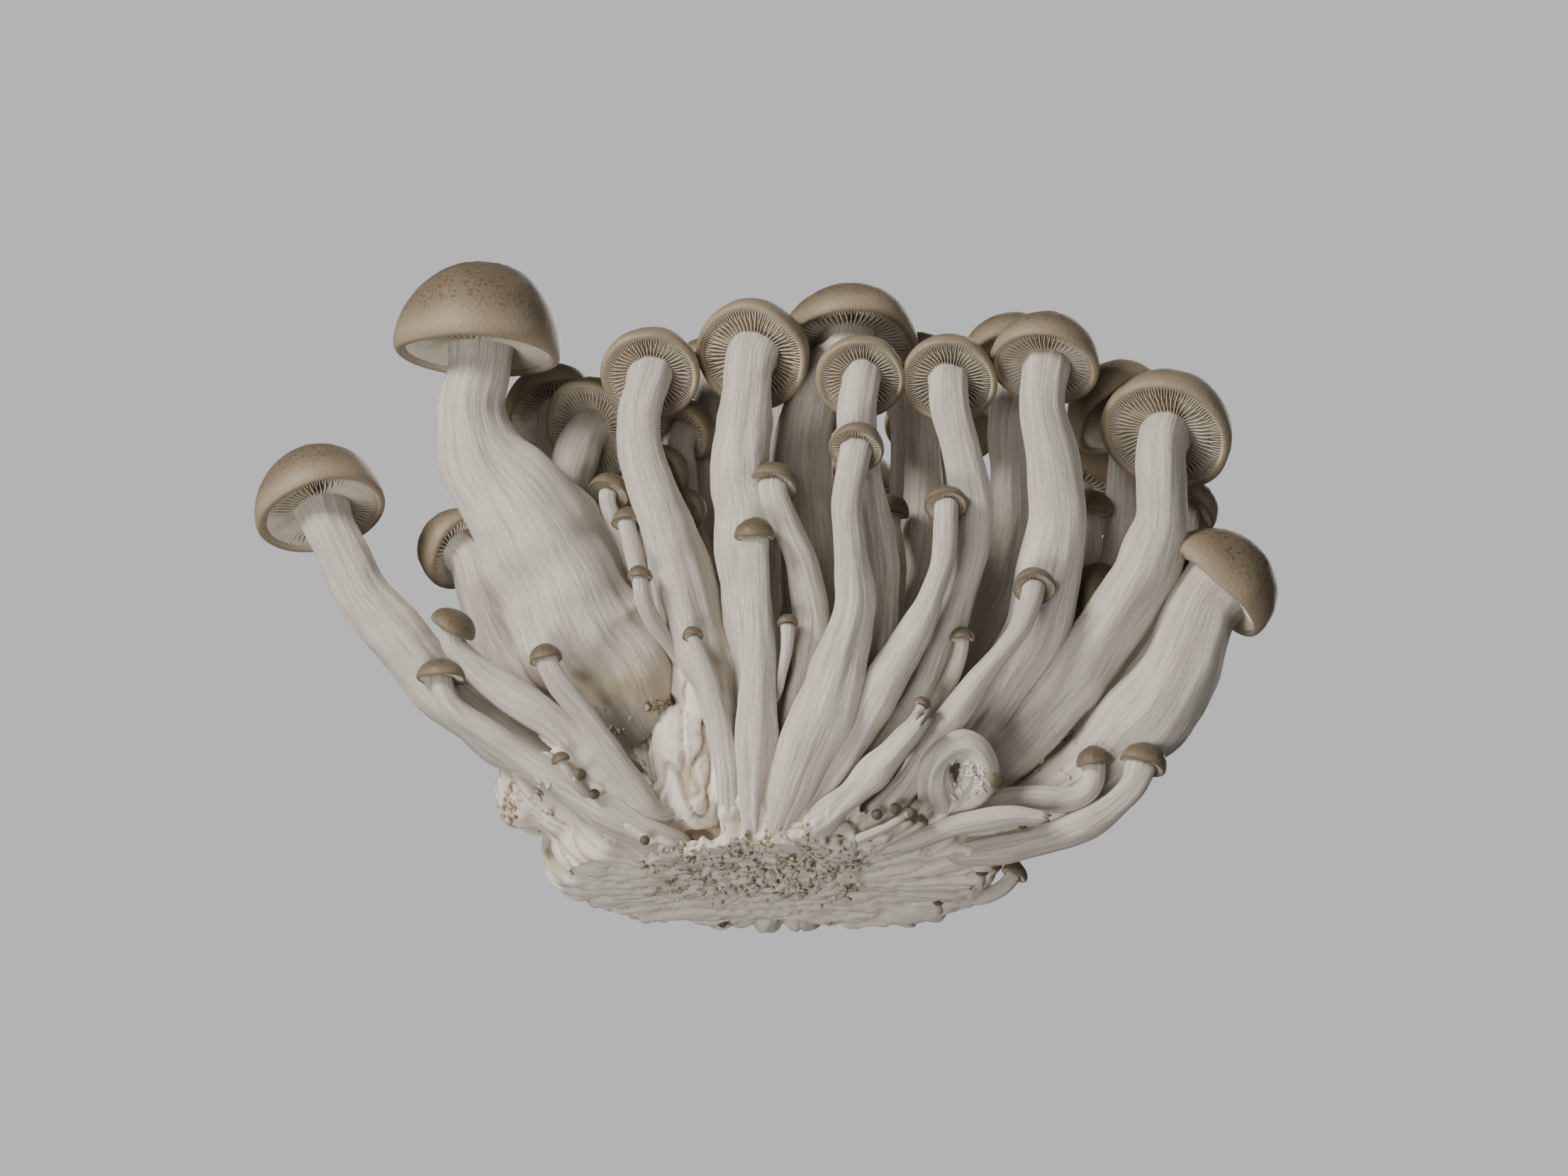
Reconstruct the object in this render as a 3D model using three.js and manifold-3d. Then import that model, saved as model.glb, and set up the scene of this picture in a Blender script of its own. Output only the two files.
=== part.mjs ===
// A clump of brown beech mushrooms grown together at the foot, cut flat underneath. It stands on the cut.
import * as THREE from "three";
import { mergeVertices } from "three/addons/utils/BufferGeometryUtils.js";
import Module from "manifold-3d";

const wasm = await Module();
wasm.setup();

// The clump is listed in the frame of its front fan, in mm: x to the right, v up the fan and w forward
// out of it, from the middle of the cut foot. The fan leans forward of upright by LEAN.
const LEAN = 25; // degrees
const SPREAD = 1; // share of the listed places, sideways
const RISE = 1; // share of the listed places, up the fan
const CAP_GROWTH = 1; // share of the listed cap radii
const STEM_GROWTH = 1; // share of the listed stem radii
const LOBE_GROWTH = 1; // share of the listed radii of the foot's lobes

const CLEARANCE = 0.3; // hairline gap where two mushrooms press together
const DOME = 1.02; // height of a cap over its rim, as a share of its radius, where none is listed
const NECK = 0.16; // how far up inside the rim the gills meet the stem, as a share of the cap's radius
const EXIT = 0.3; // how far below the rim the stem still keeps to the cap's axis, as a share of the radius
const FLARE = 1.15; // how much the stem widens where it meets the gills
const SETBACK = 0.5; // how far a cap sits behind its own stem, as a share of its radius
const SCAR = new THREE.Vector3(3, 8, 0); // middle of the cut face from the middle of its front part
const LARGE = { sides: 11, rings: 7 };
const MIDDLE = { sides: 8, rings: 5 };
const SMALL = { sides: 7, rings: 5 };
const BALL = [11, 7]; // sides and bands of a lobe of the foot
const TRIM = 0.06; // detail smaller than this is left off a cut edge

// The cap's section from the gills to the crown: radius as a share of the cap's, height as a share of the
// cap's radius under the rim and of the dome's height over it.
const CAP_SECTION = [
  [0.62, 0.07],
  [0.93, -0.07],
  [1, 0.06],
  [0.94, 0.36],
  [0.73, 0.7],
  [0.4, 0.92],
  [0, 1],
];
const SMALL_CAP_SECTION = [
  [0.9, -0.08],
  [1, 0.1],
  [0.83, 0.58],
  [0.42, 0.92],
  [0, 1],
];

// Each cap is [x, v, radius, turn, tilt]: turn is the way its crown points in the fan, 90 for straight up,
// and tilt is how far its gills show to the front, in degrees. Each stem runs from the cap down as
// [x, v, radius], and depth is how far forward it lies below the cap and at its foot.
const FRONT = [
  {
    name: "slim_front",
    size: SMALL,
    cap: [14, 67, 4.4, 75, 50],
    depth: [9, 6.5],
    stem: [
      [12.5, 63, 2.2], [12.5, 55, 2.5], [14.3, 44, 3.3], [13.2, 38, 4],
      [9.8, 29, 5], [6, 19, 4.2], [3, 12, 2.6], [1.2, 5.8, 1.3],
    ],
  },
  {
    name: "slim_straight",
    size: SMALL,
    cap: [-2.2, 53, 3.2, 88, 12],
    depth: [8.5, 6],
    stem: [
      [-2, 49, 1.9], [-1.5, 41, 2.2], [-1.5, 33, 3], [-1.8, 24, 3.3],
      [-2.2, 15, 2.6], [-2.4, 9.5, 1.9], [-2.3, 5.4, 1.2],
    ],
  },
  {
    name: "torn_stub",
    size: SMALL,
    depth: [12, 6.5],
    stem: [
      [24.8, 24.8, 1.4], [23, 22.8, 1.9], [19.5, 19, 2.3], [15, 14.5, 2.7],
      [11, 10.5, 2.4], [7, 7.5, 2], [3.5, 5.5, 1.4],
    ],
  },
  {
    name: "bowed_right",
    size: SMALL,
    cap: [28.2, 58, 3.4, 90, 50],
    depth: [7, 6.5],
    stem: [
      [28.4, 54, 1.9], [27.6, 47, 2.1], [25.5, 42, 2.4], [21.5, 35, 3.2],
      [17, 28, 3.6], [12.5, 20, 3], [7.5, 12, 2.4], [3.5, 6, 1.5],
    ],
  },
  {
    name: "bowed_left",
    size: SMALL,
    cap: [0.8, 61.2, 4, 75, 42],
    depth: [4, 3],
    stem: [
      [1.2, 57.5, 2.1], [3.2, 54, 2.2], [5.6, 48, 2.7], [7, 41, 3.2],
      [6.4, 34, 2.9], [5, 28, 2.4], [3, 21, 1.9],
    ],
  },
  {
    name: "leaning_right",
    size: SMALL,
    cap: [42.3, 45, 3.4, 90, 52],
    depth: [7, 5],
    stem: [
      [41.3, 40.8, 1.7], [39.2, 37, 1.8], [34.5, 32, 2.2], [29.5, 26, 2.7],
      [26.5, 21, 2.8], [23.5, 16, 2.6], [20, 11, 2.2], [14, 6, 1.8],
    ],
  },
  {
    name: "flared_small",
    size: SMALL,
    cap: [-12, 37.3, 1.7, 95, 30],
    depth: [7.5, 6],
    stem: [
      [-11.3, 35.8, 1], [-10, 33, 1.3], [-8.7, 28, 1.5],
      [-7.3, 22, 1.8], [-6.2, 15, 1.9], [-6, 9, 1.6],
    ],
  },
  {
    name: "wavy_small",
    size: SMALL,
    cap: [-35.2, 33.6, 2.6, 100, 20],
    depth: [10, 4],
    stem: [
      [-34.6, 31.2, 1.9], [-32, 28.5, 2], [-28.5, 24, 2.1], [-26, 20, 2.2],
      [-23, 15.5, 2.2], [-20, 11.5, 1.9], [-18, 8.5, 1.5],
    ],
  },
  {
    name: "low_left",
    size: SMALL,
    cap: [-52, 30.6, 4, 88, 15],
    dome: 3.2,
    depth: [4, 5],
    stem: [
      [-51.4, 27.4, 1.9], [-49.5, 24.5, 2.1], [-46, 22.5, 2.3], [-40, 19.5, 2.5],
      [-34.5, 15, 2.9], [-29, 11.5, 3], [-23, 9, 2.4], [-17, 5, 1.5],
    ],
  },
  {
    name: "tilted_left",
    size: SMALL,
    cap: [-50.2, 38.6, 3.8, 62, -8],
    dome: 3,
    depth: [4, 5],
    stem: [
      [-50.5, 35.5, 1.8], [-48, 32.3, 2.4], [-44, 29.5, 2.7], [-38, 26.5, 2.7],
      [-32, 22.5, 2.8], [-28.5, 17, 2.6], [-24.5, 13.5, 2.3], [-20, 11, 1.8],
    ],
  },
  {
    name: "pin_centre",
    size: SMALL,
    cap: [3.1, 39.2, 1.7, 90, 20],
    depth: [9, 7],
    stem: [[3.1, 37.3, 1.1], [2.8, 34, 1], [1.5, 29.5, 0.9]],
  },
  {
    name: "brown_tip",
    size: SMALL,
    cap: [24.3, 26.3, 1.5, 60, 25],
    depth: [10, 7],
    stem: [[23.8, 25, 0.9], [22, 22.8, 1], [19, 19.8, 1.1]],
  },
  {
    name: "hook",
    size: SMALL,
    depth: [8, 4.5],
    stem: [[13.8, 4.6, 0.9], [13.4, 6.2, 1.1], [11.6, 7.4, 1.1], [9.2, 6.9, 1.1], [7, 4, 1.1]],
  },
  {
    name: "curl",
    size: SMALL,
    depth: [8, 4],
    stem: [
      [28.6, 19.4, 1.3], [31.2, 20, 1.6], [33.3, 18, 1.7],
      [33.6, 15.2, 1.7], [32, 12.8, 1.7], [28.5, 10.6, 1.6],
    ],
  },
  {
    name: "straw",
    size: SMALL,
    depth: [9, 3],
    stem: [
      [43.8, 8.6, 1.2], [40, 9.1, 1.6], [36, 8.8, 1.8],
      [30, 7.6, 1.8], [24, 5.4, 1.8], [19, 3.6, 1.3],
    ],
  },
  {
    name: "low_right_inner",
    size: SMALL,
    cap: [51.8, 17, 2.9, 95, 5],
    depth: [4, 2],
    stem: [
      [52.4, 14.2, 1.7], [51, 11.8, 1.9], [47.4, 10.8, 1.9],
      [42, 11.8, 1.9], [37, 11.4, 1.8], [32, 9.5, 1.5],
    ],
  },
  {
    name: "low_right",
    size: SMALL,
    cap: [59.5, 16.8, 3.8, 70, 20],
    depth: [4, 1],
    stem: [
      [58.4, 13.4, 2.3], [54.8, 9.9, 2.6], [49, 7, 2.6],
      [44, 5, 2.6], [38, 3.8, 2.4], [32, 3, 1.8],
    ],
  },
  {
    name: "golden_pin",
    size: SMALL,
    cap: [39.5, -1.2, 2.2, 60, 20],
    depth: [-15, -16],
    stem: [[38.2, -3.3, 1.2], [35.6, -4.7, 1.3], [31.5, -4.4, 1.3], [27, -3.5, 1.2]],
  },
  {
    name: "pin_left",
    size: SMALL,
    cap: [-32.8, 17.6, 1.5, 110, 10],
    depth: [9, 6],
    stem: [[-32, 16, 0.9], [-30, 13.6, 1], [-28, 11.4, 0.9]],
  },
  {
    name: "pin_right_a",
    size: SMALL,
    cap: [22.1, 9.6, 0.95, 60, 10],
    depth: [9, 8],
    stem: [[20.8, 8.3, 0.7], [17, 6.3, 0.8], [12, 4.5, 0.8]],
  },
  {
    name: "pin_right_b",
    size: SMALL,
    cap: [24.6, 7.9, 0.8, 50, 10],
    depth: [8, 3],
    stem: [[23.4, 7, 0.55], [20, 5.2, 0.6], [15.5, 3, 0.6]],
  },
];

const LARGE_FRONT = [
  {
    name: "big_left",
    cap: [-46.2, 83, 13.6, 87, 13],
    dome: 14.4,
    depth: [-3, -7],
    stem: [
      [-47.4, 76, 5.2], [-48, 70, 6.4], [-45.2, 63, 8.2], [-39, 57, 10.2], [-35, 50, 11.8],
      [-31.5, 42, 11], [-27, 35, 9.4], [-21.8, 28, 6.8], [-18.5, 20, 3],
    ],
  },
  {
    name: "left_of_centre",
    cap: [-19, 79, 7.9, 85, 62],
    depth: [0, -1],
    stem: [
      [-20.8, 74.5, 3.1], [-21.2, 69, 3.5], [-18.6, 61.5, 4.1], [-15, 52, 4.8],
      [-12.5, 43, 5], [-9.8, 34, 4.8], [-8, 26, 3.6], [-6, 13, 2.4],
    ],
  },
  {
    name: "centre",
    cap: [-2.5, 82, 9.2, 60, 60],
    depth: [-1, 1],
    stem: [
      [-3, 77, 3.6], [-4.5, 71, 4.5], [-4, 63.5, 5.2], [-3.4, 55, 5.1],
      [-3.5, 46, 4.8], [-2.2, 35, 4.3], [-1.3, 24, 3.4], [-1, 14, 2.5],
    ],
  },
  {
    name: "right_of_centre",
    cap: [14.8, 78.5, 7.1, 88, 65],
    depth: [1, 0],
    stem: [
      [14, 74.5, 2.7], [14, 69, 3.1], [14.8, 62, 3.8], [16.3, 53, 4.5],
      [17.3, 44, 4.2], [16, 35, 3.5], [12.5, 25, 3], [8, 15, 2.4],
    ],
  },
  {
    name: "inner_right",
    cap: [29, 78, 7.6, 88, 63],
    depth: [1, -1],
    stem: [
      [28.5, 74, 2.8], [29.8, 69.5, 2.9], [31.9, 62.5, 3.4], [32.7, 55, 3.5],
      [31, 47, 3.4], [28, 38.5, 3.4], [24.5, 29, 3], [14, 14, 2.4],
    ],
  },
  {
    name: "outer_right",
    cap: [44.3, 80.5, 8.8, 80, 42],
    depth: [0, -4],
    stem: [
      [43.2, 75, 3.5], [44.3, 70, 4], [46.3, 63, 4.4], [46.8, 55, 4.8], [45, 47, 5.5],
      [43, 39, 5.4], [40.6, 33, 4.4], [33, 22, 3], [22, 8, 2.4],
    ],
  },
  {
    name: "far_right",
    cap: [63.5, 69.5, 10.5, 65, 50],
    depth: [-1, -5],
    stem: [
      [62.5, 65, 4], [63, 59, 4.3], [62.4, 52, 4.8], [59.6, 46, 5.2], [55, 39, 5.5],
      [50, 33, 5.8], [44, 26, 5.2], [38, 18, 3.6], [30, 10, 2.6],
    ],
  },
  {
    name: "far_left",
    cap: [-71.3, 57.4, 10.7, 107, 33],
    depth: [-2, -5],
    stem: [
      [-68.8, 51.5, 4], [-66.6, 46, 4.3], [-61.5, 39.5, 4.9], [-56, 33, 5],
      [-50, 27, 4.9], [-43, 21.5, 4.3], [-35.5, 15.5, 3.6], [-28, 10, 2.6],
    ],
  },
  {
    name: "low_big_right",
    cap: [71.3, 44.5, 10, 45, 12],
    depth: [-2, -6],
    stem: [
      [67.6, 38.5, 6.2], [66.2, 33, 7.4], [62, 26, 8], [56, 20, 7],
      [50, 14.5, 5.2], [42, 10, 4], [32, 7, 2.8],
    ],
  },
  {
    name: "left_inner",
    cap: [-49.5, 51, 7, 150, 35],
    depth: [-11, -9],
    stem: [[-46.9, 45, 3.2], [-45, 38, 4], [-40.5, 30.5, 4.4], [-35, 22.5, 3.8], [-29, 14, 2.8]],
  },
];

const SECOND_ROW = [
  {
    name: "behind_far_left_pair",
    size: MIDDLE,
    cap: [-28.4, 70.2, 9, 28, 50],
    depth: [-9, -12],
    stem: [
      [-30.8, 66, 3.2], [-32.6, 61, 3.3], [-33, 54, 3.4],
      [-30, 42, 3.6], [-22, 28, 3.2], [-14, 14, 2.6],
    ],
  },
  {
    name: "behind_big_left",
    size: MIDDLE,
    cap: [-35, 73.5, 8, 105, 45],
    depth: [-21, -18],
    stem: [
      [-35.6, 68, 2.5], [-35.6, 62, 2.6], [-34, 52, 2.8],
      [-29, 40, 3], [-20, 26, 2.8], [-14, 16, 2.4],
    ],
  },
  {
    name: "tucked_small",
    size: SMALL,
    cap: [-25.6, 60, 3.5, 70, 40],
    depth: [-4, -8],
    stem: [[-25.2, 57, 1.6], [-23.5, 50, 1.8], [-20.5, 42, 2], [-17, 32, 2]],
  },
  {
    name: "tucked_dark",
    size: SMALL,
    cap: [-22.6, 55.4, 2.5, 90, 30],
    depth: [0, -3],
    stem: [[-21.8, 52.6, 1.5], [-20.2, 46, 1.7], [-18, 39, 1.7]],
  },
  {
    name: "tucked_brown",
    size: SMALL,
    cap: [-20.3, 46.6, 2, 90, 20],
    depth: [6, 1.5],
    stem: [[-20.4, 44.6, 1.2], [-19.2, 41, 1.3], [-16.3, 37, 1.3]],
  },
  {
    name: "tucked_gilled",
    size: SMALL,
    cap: [-17.5, 63.2, 4.8, 40, 40],
    depth: [-4, -9],
    stem: [[-18.5, 58.5, 2], [-18, 52, 2.1], [-15.5, 44, 2.1], [-13, 34, 2]],
  },
  {
    name: "tucked_low_gilled",
    size: SMALL,
    cap: [-13.5, 57.4, 3.6, 25, 40],
    depth: [-3, -6],
    stem: [[-14.5, 54, 1.5], [-13.6, 48, 1.7], [-11.5, 40, 1.7]],
  },
  {
    name: "grey_right",
    size: SMALL,
    cap: [19.4, 57, 3.2, 80, 10],
    depth: [-9, -12],
    stem: [[20.4, 52.5, 1.5], [20.6, 47, 1.6], [19.5, 38, 1.7]],
  },
  {
    name: "behind_centre_wide",
    size: MIDDLE,
    cap: [13, 84.2, 11, 88, 35],
    dome: 9.4,
    depth: [-11, -12],
    stem: [[8.4, 79.5, 4.4], [5.8, 73, 4.8], [5.6, 63, 5.2], [7, 51, 5.4], [7, 39, 4.9], [4, 20, 3.6]],
  },
  {
    name: "behind_left_dark",
    size: MIDDLE,
    cap: [-14, 70, 5.5, 45, 40],
    depth: [-9, -11],
    stem: [[-14.6, 66, 2.3], [-13.6, 58, 2.6], [-10.5, 46, 2.8], [-7, 32, 2.8], [-5, 18, 2.4]],
  },
  {
    name: "behind_left_pale",
    size: MIDDLE,
    cap: [-9.6, 79.5, 6, 90, 45],
    depth: [-16, -15],
    stem: [[-9.6, 75, 2.4], [-9.3, 66, 2.7], [-8, 52, 2.9], [-5, 34, 2.9], [-4, 18, 2.4]],
  },
  {
    name: "behind_inner_right",
    size: MIDDLE,
    cap: [24.3, 79.8, 6.5, 80, 40],
    depth: [-17, -15],
    stem: [[24.9, 74, 2.7], [25, 66, 3], [24.8, 55, 3.6], [23.6, 43, 3.4], [19, 30, 3], [14, 20, 2.5]],
  },
  {
    name: "behind_outer_right",
    size: MIDDLE,
    cap: [40, 79.6, 10, 95, 45],
    depth: [-15, -15],
    stem: [
      [38.8, 73, 3.7], [39, 62, 4], [38.4, 52, 4.2],
      [35.8, 43, 4.2], [30, 31, 3.6], [23, 18, 2.8],
    ],
  },
  {
    name: "behind_far_right",
    size: MIDDLE,
    cap: [57, 73, 8.7, 125, 30],
    depth: [-15, -15],
    stem: [[57, 66, 2.6], [57.2, 56, 2.8], [55, 46, 3], [47, 33, 3.2], [38, 23, 3], [28, 13, 2.5]],
  },
  {
    name: "grey_behind",
    size: SMALL,
    cap: [20.8, 75.5, 3.4, 90, 35],
    depth: [-23, -20],
    stem: [[21.3, 72, 1.8], [21.6, 64, 1.9], [21.2, 54, 2], [18.5, 40, 2.1], [14, 26, 2]],
  },
  {
    name: "beside_far_right",
    size: SMALL,
    cap: [67.5, 57.5, 5, 55, 30],
    depth: [-15, -14],
    stem: [
      [66.8, 56, 2.4], [66.6, 50, 2.7], [63.5, 38, 2.8],
      [56, 27, 2.8], [46, 18, 2.6], [34, 10, 2.2],
    ],
  },
  {
    name: "pebbled_right",
    size: SMALL,
    cap: [53, 44, 5, 100, -25],
    depth: [-9, -11],
    stem: [[52.6, 38.5, 2.4], [49.5, 31, 2.6], [42, 22, 2.6], [33, 13, 2.2]],
  },
  {
    name: "olive_right",
    size: SMALL,
    cap: [51.5, 57, 4, 90, 10],
    depth: [-11, -14],
    stem: [[51.8, 51, 1.9], [49, 41, 2.1], [42, 30, 2.2], [33, 19, 2]],
  },
  {
    name: "half_hidden_right",
    size: SMALL,
    cap: [30.8, 36.8, 2, 90, 15],
    depth: [5, 1],
    stem: [[30.7, 34.7, 1.2], [29, 30.5, 1.3], [26, 25.5, 1.3]],
  },
];

const BACK_ROWS = [
  {
    name: "middle_left",
    size: MIDDLE,
    cap: [-30, 70, 9.5, 100, 35],
    depth: [-36, -24],
    stem: [[-28.5, 62, 4.2], [-25, 50, 5], [-20, 36, 5.2], [-14, 22, 4.2], [-11, 12, 3]],
  },
  {
    name: "middle_centre",
    size: MIDDLE,
    cap: [2, 74, 10.5, 90, 35],
    depth: [-40, -26],
    stem: [[1.5, 65, 4.6], [0, 52, 5.4], [-1, 38, 5.6], [-1, 24, 4.6], [-1, 12, 3.2]],
  },
  {
    name: "middle_right",
    size: MIDDLE,
    cap: [28, 71, 9.5, 80, 35],
    depth: [-37, -24],
    stem: [[27, 63, 4.2], [24, 51, 5], [19, 37, 5.2], [14, 23, 4.2], [11, 12, 3]],
  },
  {
    name: "middle_far_right",
    size: MIDDLE,
    cap: [50, 60, 9.5, 65, 35],
    depth: [-33, -22],
    stem: [[47, 53, 4.2], [42, 44, 5], [34, 32, 5], [26, 20, 4], [20, 11, 3]],
  },
  {
    name: "back_far_left",
    size: MIDDLE,
    cap: [-38, 47, 10.5, 115, 45],
    depth: [-50, -30],
    stem: [[-35, 40, 4.6], [-31, 33, 5.6], [-25, 24, 5.6], [-18, 15, 4.4], [-13, 9, 3]],
  },
  {
    name: "back_left",
    size: MIDDLE,
    cap: [-16, 56, 11.5, 97, 50],
    depth: [-66, -34],
    stem: [[-15, 48, 5.4], [-12.5, 39, 6.4], [-9.5, 29, 6.2], [-7, 18, 4.8], [-5.5, 10, 3.2]],
  },
  {
    name: "back_right",
    size: MIDDLE,
    cap: [13, 57, 11.5, 85, 50],
    depth: [-68, -34],
    stem: [[12.4, 49, 5.4], [11, 40, 6.4], [9, 29, 6.2], [7, 18, 4.8], [5.5, 10, 3.2]],
  },
  {
    name: "back_far_right",
    size: MIDDLE,
    cap: [38, 47, 10.5, 65, 45],
    depth: [-56, -30],
    stem: [[35, 40, 4.6], [31, 33, 5.6], [25, 24, 5.6], [18, 15, 4.4], [13, 9, 3]],
  },
];

// The foot's lobes, each [x, v, w, three radii]: a cushion of matted white threads with swellings round it.
const LOBES = [
  [1, 5, -14, 31, 15, 16],
  [-1, 0, 0, 18, 5.5, 12],
  [-24, 4, -12, 12, 9, 12],
  [-33, 11, -9, 10, 6.5, 7],
  [-39.5, 12.5, -6, 4.6, 6.4, 4],
  [-14, 17, -2, 5.5, 10, 5],
  [-11, 26, -3, 3.4, 7, 3.6],
  [21, 2, -9, 14, 8, 12],
  [29, 3.5, -6, 8, 6, 8],
  [-9, -1.5, -15, 21, 8.5, 12],
  [14, -2, -16, 21, 9, 12],
  [0, 3.5, -30, 25, 13, 14],
  [12, 10, -8, 12, 10, 9],
];

const LOOKS = {
  pale: { color: "#c9bba2", roughness: 0.62, metalness: 0 },
  foot: { color: "#e4ddd0", roughness: 0.85, metalness: 0 },
};

const place = (x, v, w) => new THREE.Vector3(x * SPREAD, v * RISE, w);

// The crown's direction of a cap turned and tilted in the fan.
function crownOf(turn, tilt) {
  const [a, b] = [turn, tilt].map(THREE.MathUtils.degToRad);
  return new THREE.Vector3(Math.cos(a) * Math.cos(b), Math.sin(a) * Math.cos(b), -Math.sin(b));
}

// The stem's centres and radii from the foot up, at even steps along the listed points.
function stemRings(points, radii, count) {
  const path = new THREE.CatmullRomCurve3(points, false, "centripetal");
  const widths = new THREE.CatmullRomCurve3(radii.map((r, i) => new THREE.Vector3(i, r, 0)));
  return Array.from({ length: count + 1 }, (_, i) => {
    const t = i / count;
    return {
      centre: path.getPoint(t),
      axis: path.getTangent(t),
      radius: widths.getPoint(t).y,
      out: [1, 0],
    };
  });
}

// The cap's rings from the gills to the crown, each with the way its section faces.
function capRings(rim, crown, radius, dome, neck, section) {
  const profile = [[neck, NECK * radius]];
  for (const [r, h] of section) profile.push([r * radius, h * (h > 0.1 ? dome : radius)]);
  return profile.map(([r, h], i) => {
    const [r0, h0] = profile[Math.max(i - 1, 0)];
    const [r1, h1] = profile[Math.min(i + 1, profile.length - 1)];
    const length = Math.hypot(r1 - r0, h1 - h0);
    return {
      centre: rim.clone().addScaledVector(crown, h),
      axis: crown,
      radius: r,
      out: r ? [(h1 - h0) / length, (r0 - r1) / length] : [0, 1],
    };
  });
}

// Every ring of one mushroom, from the tip of its foot to its crown. A stub has no cap.
function ringsOf({ size = LARGE, cap, dome, depth: [near, foot], stem }) {
  const listed = stem.map(([x, v]) => place(x, v, 0));
  const run = [0];
  for (let i = 1; i < listed.length; i++) run.push(run[i - 1] + listed[i].distanceTo(listed[i - 1]));
  listed.forEach((p, i) => {
    p.z = THREE.MathUtils.lerp(near, foot, (run[i] / run.at(-1)) ** 1.4);
  });
  const radii = stem.map(([, , r]) => r * STEM_GROWTH);
  let tail = [];
  if (cap) {
    const [x, v, r, turn, tilt] = cap;
    const crown = crownOf(turn, tilt);
    const radius = r * CAP_GROWTH;
    const rim = place(x, v, near + SETBACK * radius * crown.z);
    const height = (dome ?? DOME * r) * CAP_GROWTH;
    const section = size === SMALL ? SMALL_CAP_SECTION : CAP_SECTION;
    listed.unshift(rim.clone().addScaledVector(crown, -EXIT * radius));
    radii.unshift(Math.min(radii[0], 0.7 * radius));
    tail = capRings(rim, crown, radius, height, FLARE * radii[0], section);
  }
  const rings = stemRings(listed.reverse(), radii.reverse(), size.rings);
  const tip = rings[0];
  rings.unshift({
    centre: tip.centre.clone().addScaledVector(tip.axis, -0.5 * tip.radius),
    axis: tip.axis,
    radius: 0,
    out: [0, -1],
  });
  if (!cap) {
    const end = rings.at(-1);
    tail = [{ ...end, centre: end.centre.clone().addScaledVector(end.axis, 0.4), radius: 0, out: [0, 1] }];
  }
  return rings.concat(tail);
}

// A lathe whose rings each keep a centre and an axis of their own: one closed skin over a bent mushroom.
// Grown makes it that much larger all round.
function skin(rings, sides, grown = 0) {
  const turned = rings.map(({ radius, out }, i) => new THREE.Vector2(radius && radius + out[0] * grown, i));
  const geometry = new THREE.LatheGeometry(turned, sides);
  const across = new THREE.Vector3(1, 0, 0);
  const frames = rings.map(({ centre, axis, out }) => {
    across.addScaledVector(axis, -across.dot(axis)).normalize();
    const side = across.clone();
    return new THREE.Matrix4()
      .makeBasis(side, axis, side.clone().cross(axis))
      .setPosition(centre.clone().addScaledVector(axis, out[1] * grown));
  });
  const position = geometry.getAttribute("position");
  const p = new THREE.Vector3();
  for (let i = 0; i < position.count; i++) {
    p.fromBufferAttribute(position, i);
    const frame = frames[Math.round(p.y)];
    p.setY(0).applyMatrix4(frame);
    position.setXYZ(i, p.x, p.y, p.z);
  }
  return geometry;
}

function solidOf(geometry) {
  const bare = new THREE.BufferGeometry().setAttribute("position", geometry.getAttribute("position"));
  const merged = mergeVertices(bare.setIndex(geometry.getIndex()), 1e-4);
  return new wasm.Manifold(
    new wasm.Mesh({
      numProp: 3,
      vertProperties: merged.getAttribute("position").array,
      triVerts: new Uint32Array(merged.getIndex().array),
    }),
  );
}

function geometryOf(solid) {
  const { vertProperties, triVerts } = solid.getMesh();
  const geometry = new THREE.BufferGeometry()
    .setAttribute("position", new THREE.Float32BufferAttribute(vertProperties, 3))
    .setIndex(Array.from(triVerts))
    .toNonIndexed();
  geometry.computeVertexNormals();
  return geometry;
}

const largestOf = (solid) => solid.decompose().reduce((a, b) => (b.volume() > a.volume() ? b : a));

// Two boxes meet if they overlap along every axis.
const boxesMeet = (a, b) => a.min.every((m, i) => m <= b.max[i] && b.min[i] <= a.max[i]);

// The standing frame in the fan's own terms, to cut the foot off level.
const stand = new THREE.Matrix4().makeRotationX(THREE.MathUtils.degToRad(90 + LEAN));

// The foot: its lobes joined, then cut off flat. It widens and rises with the fan, so that every stem keeps
// its root. Grown is the room left round it.
function footSolid(grown) {
  const stretch = [SPREAD, RISE, 1];
  const lobes = LOBES.map(([x, v, w, ...radii]) => {
    const ball = new THREE.SphereGeometry(1, ...BALL);
    ball.scale(...radii.map((r, axis) => r * stretch[axis] * LOBE_GROWTH + grown));
    const middle = place(x, v, w);
    return solidOf(ball.translate(middle.x, middle.y, middle.z));
  });
  const joined = lobes.reduce((a, b) => a.add(b));
  const under = new THREE.BoxGeometry(400, 400, 200).translate(0, 0, -100 - grown);
  return joined.subtract(solidOf(under.applyMatrix4(stand.clone().invert())));
}

// Each mushroom is cut back from the foot and from every one listed before it, so none overlap.
const foot = largestOf(footSolid(0)).simplify(TRIM);
const bodies = [{ name: "foot", solid: foot, room: footSolid(CLEARANCE), look: LOOKS.foot }];
for (const mushroom of [...FRONT, ...LARGE_FRONT, ...SECOND_ROW, ...BACK_ROWS]) {
  const rings = ringsOf(mushroom);
  const sides = (mushroom.size ?? LARGE).sides;
  const whole = solidOf(skin(rings, sides));
  const box = whole.boundingBox();
  let solid = whole;
  for (const other of bodies) {
    if (boxesMeet(box, other.room.boundingBox())) solid = solid.subtract(other.room);
  }
  bodies.push({
    name: mushroom.name,
    solid: largestOf(solid).simplify(TRIM),
    room: solidOf(skin(rings, sides, CLEARANCE)).add(whole),
    look: LOOKS.pale,
  });
}

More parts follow.
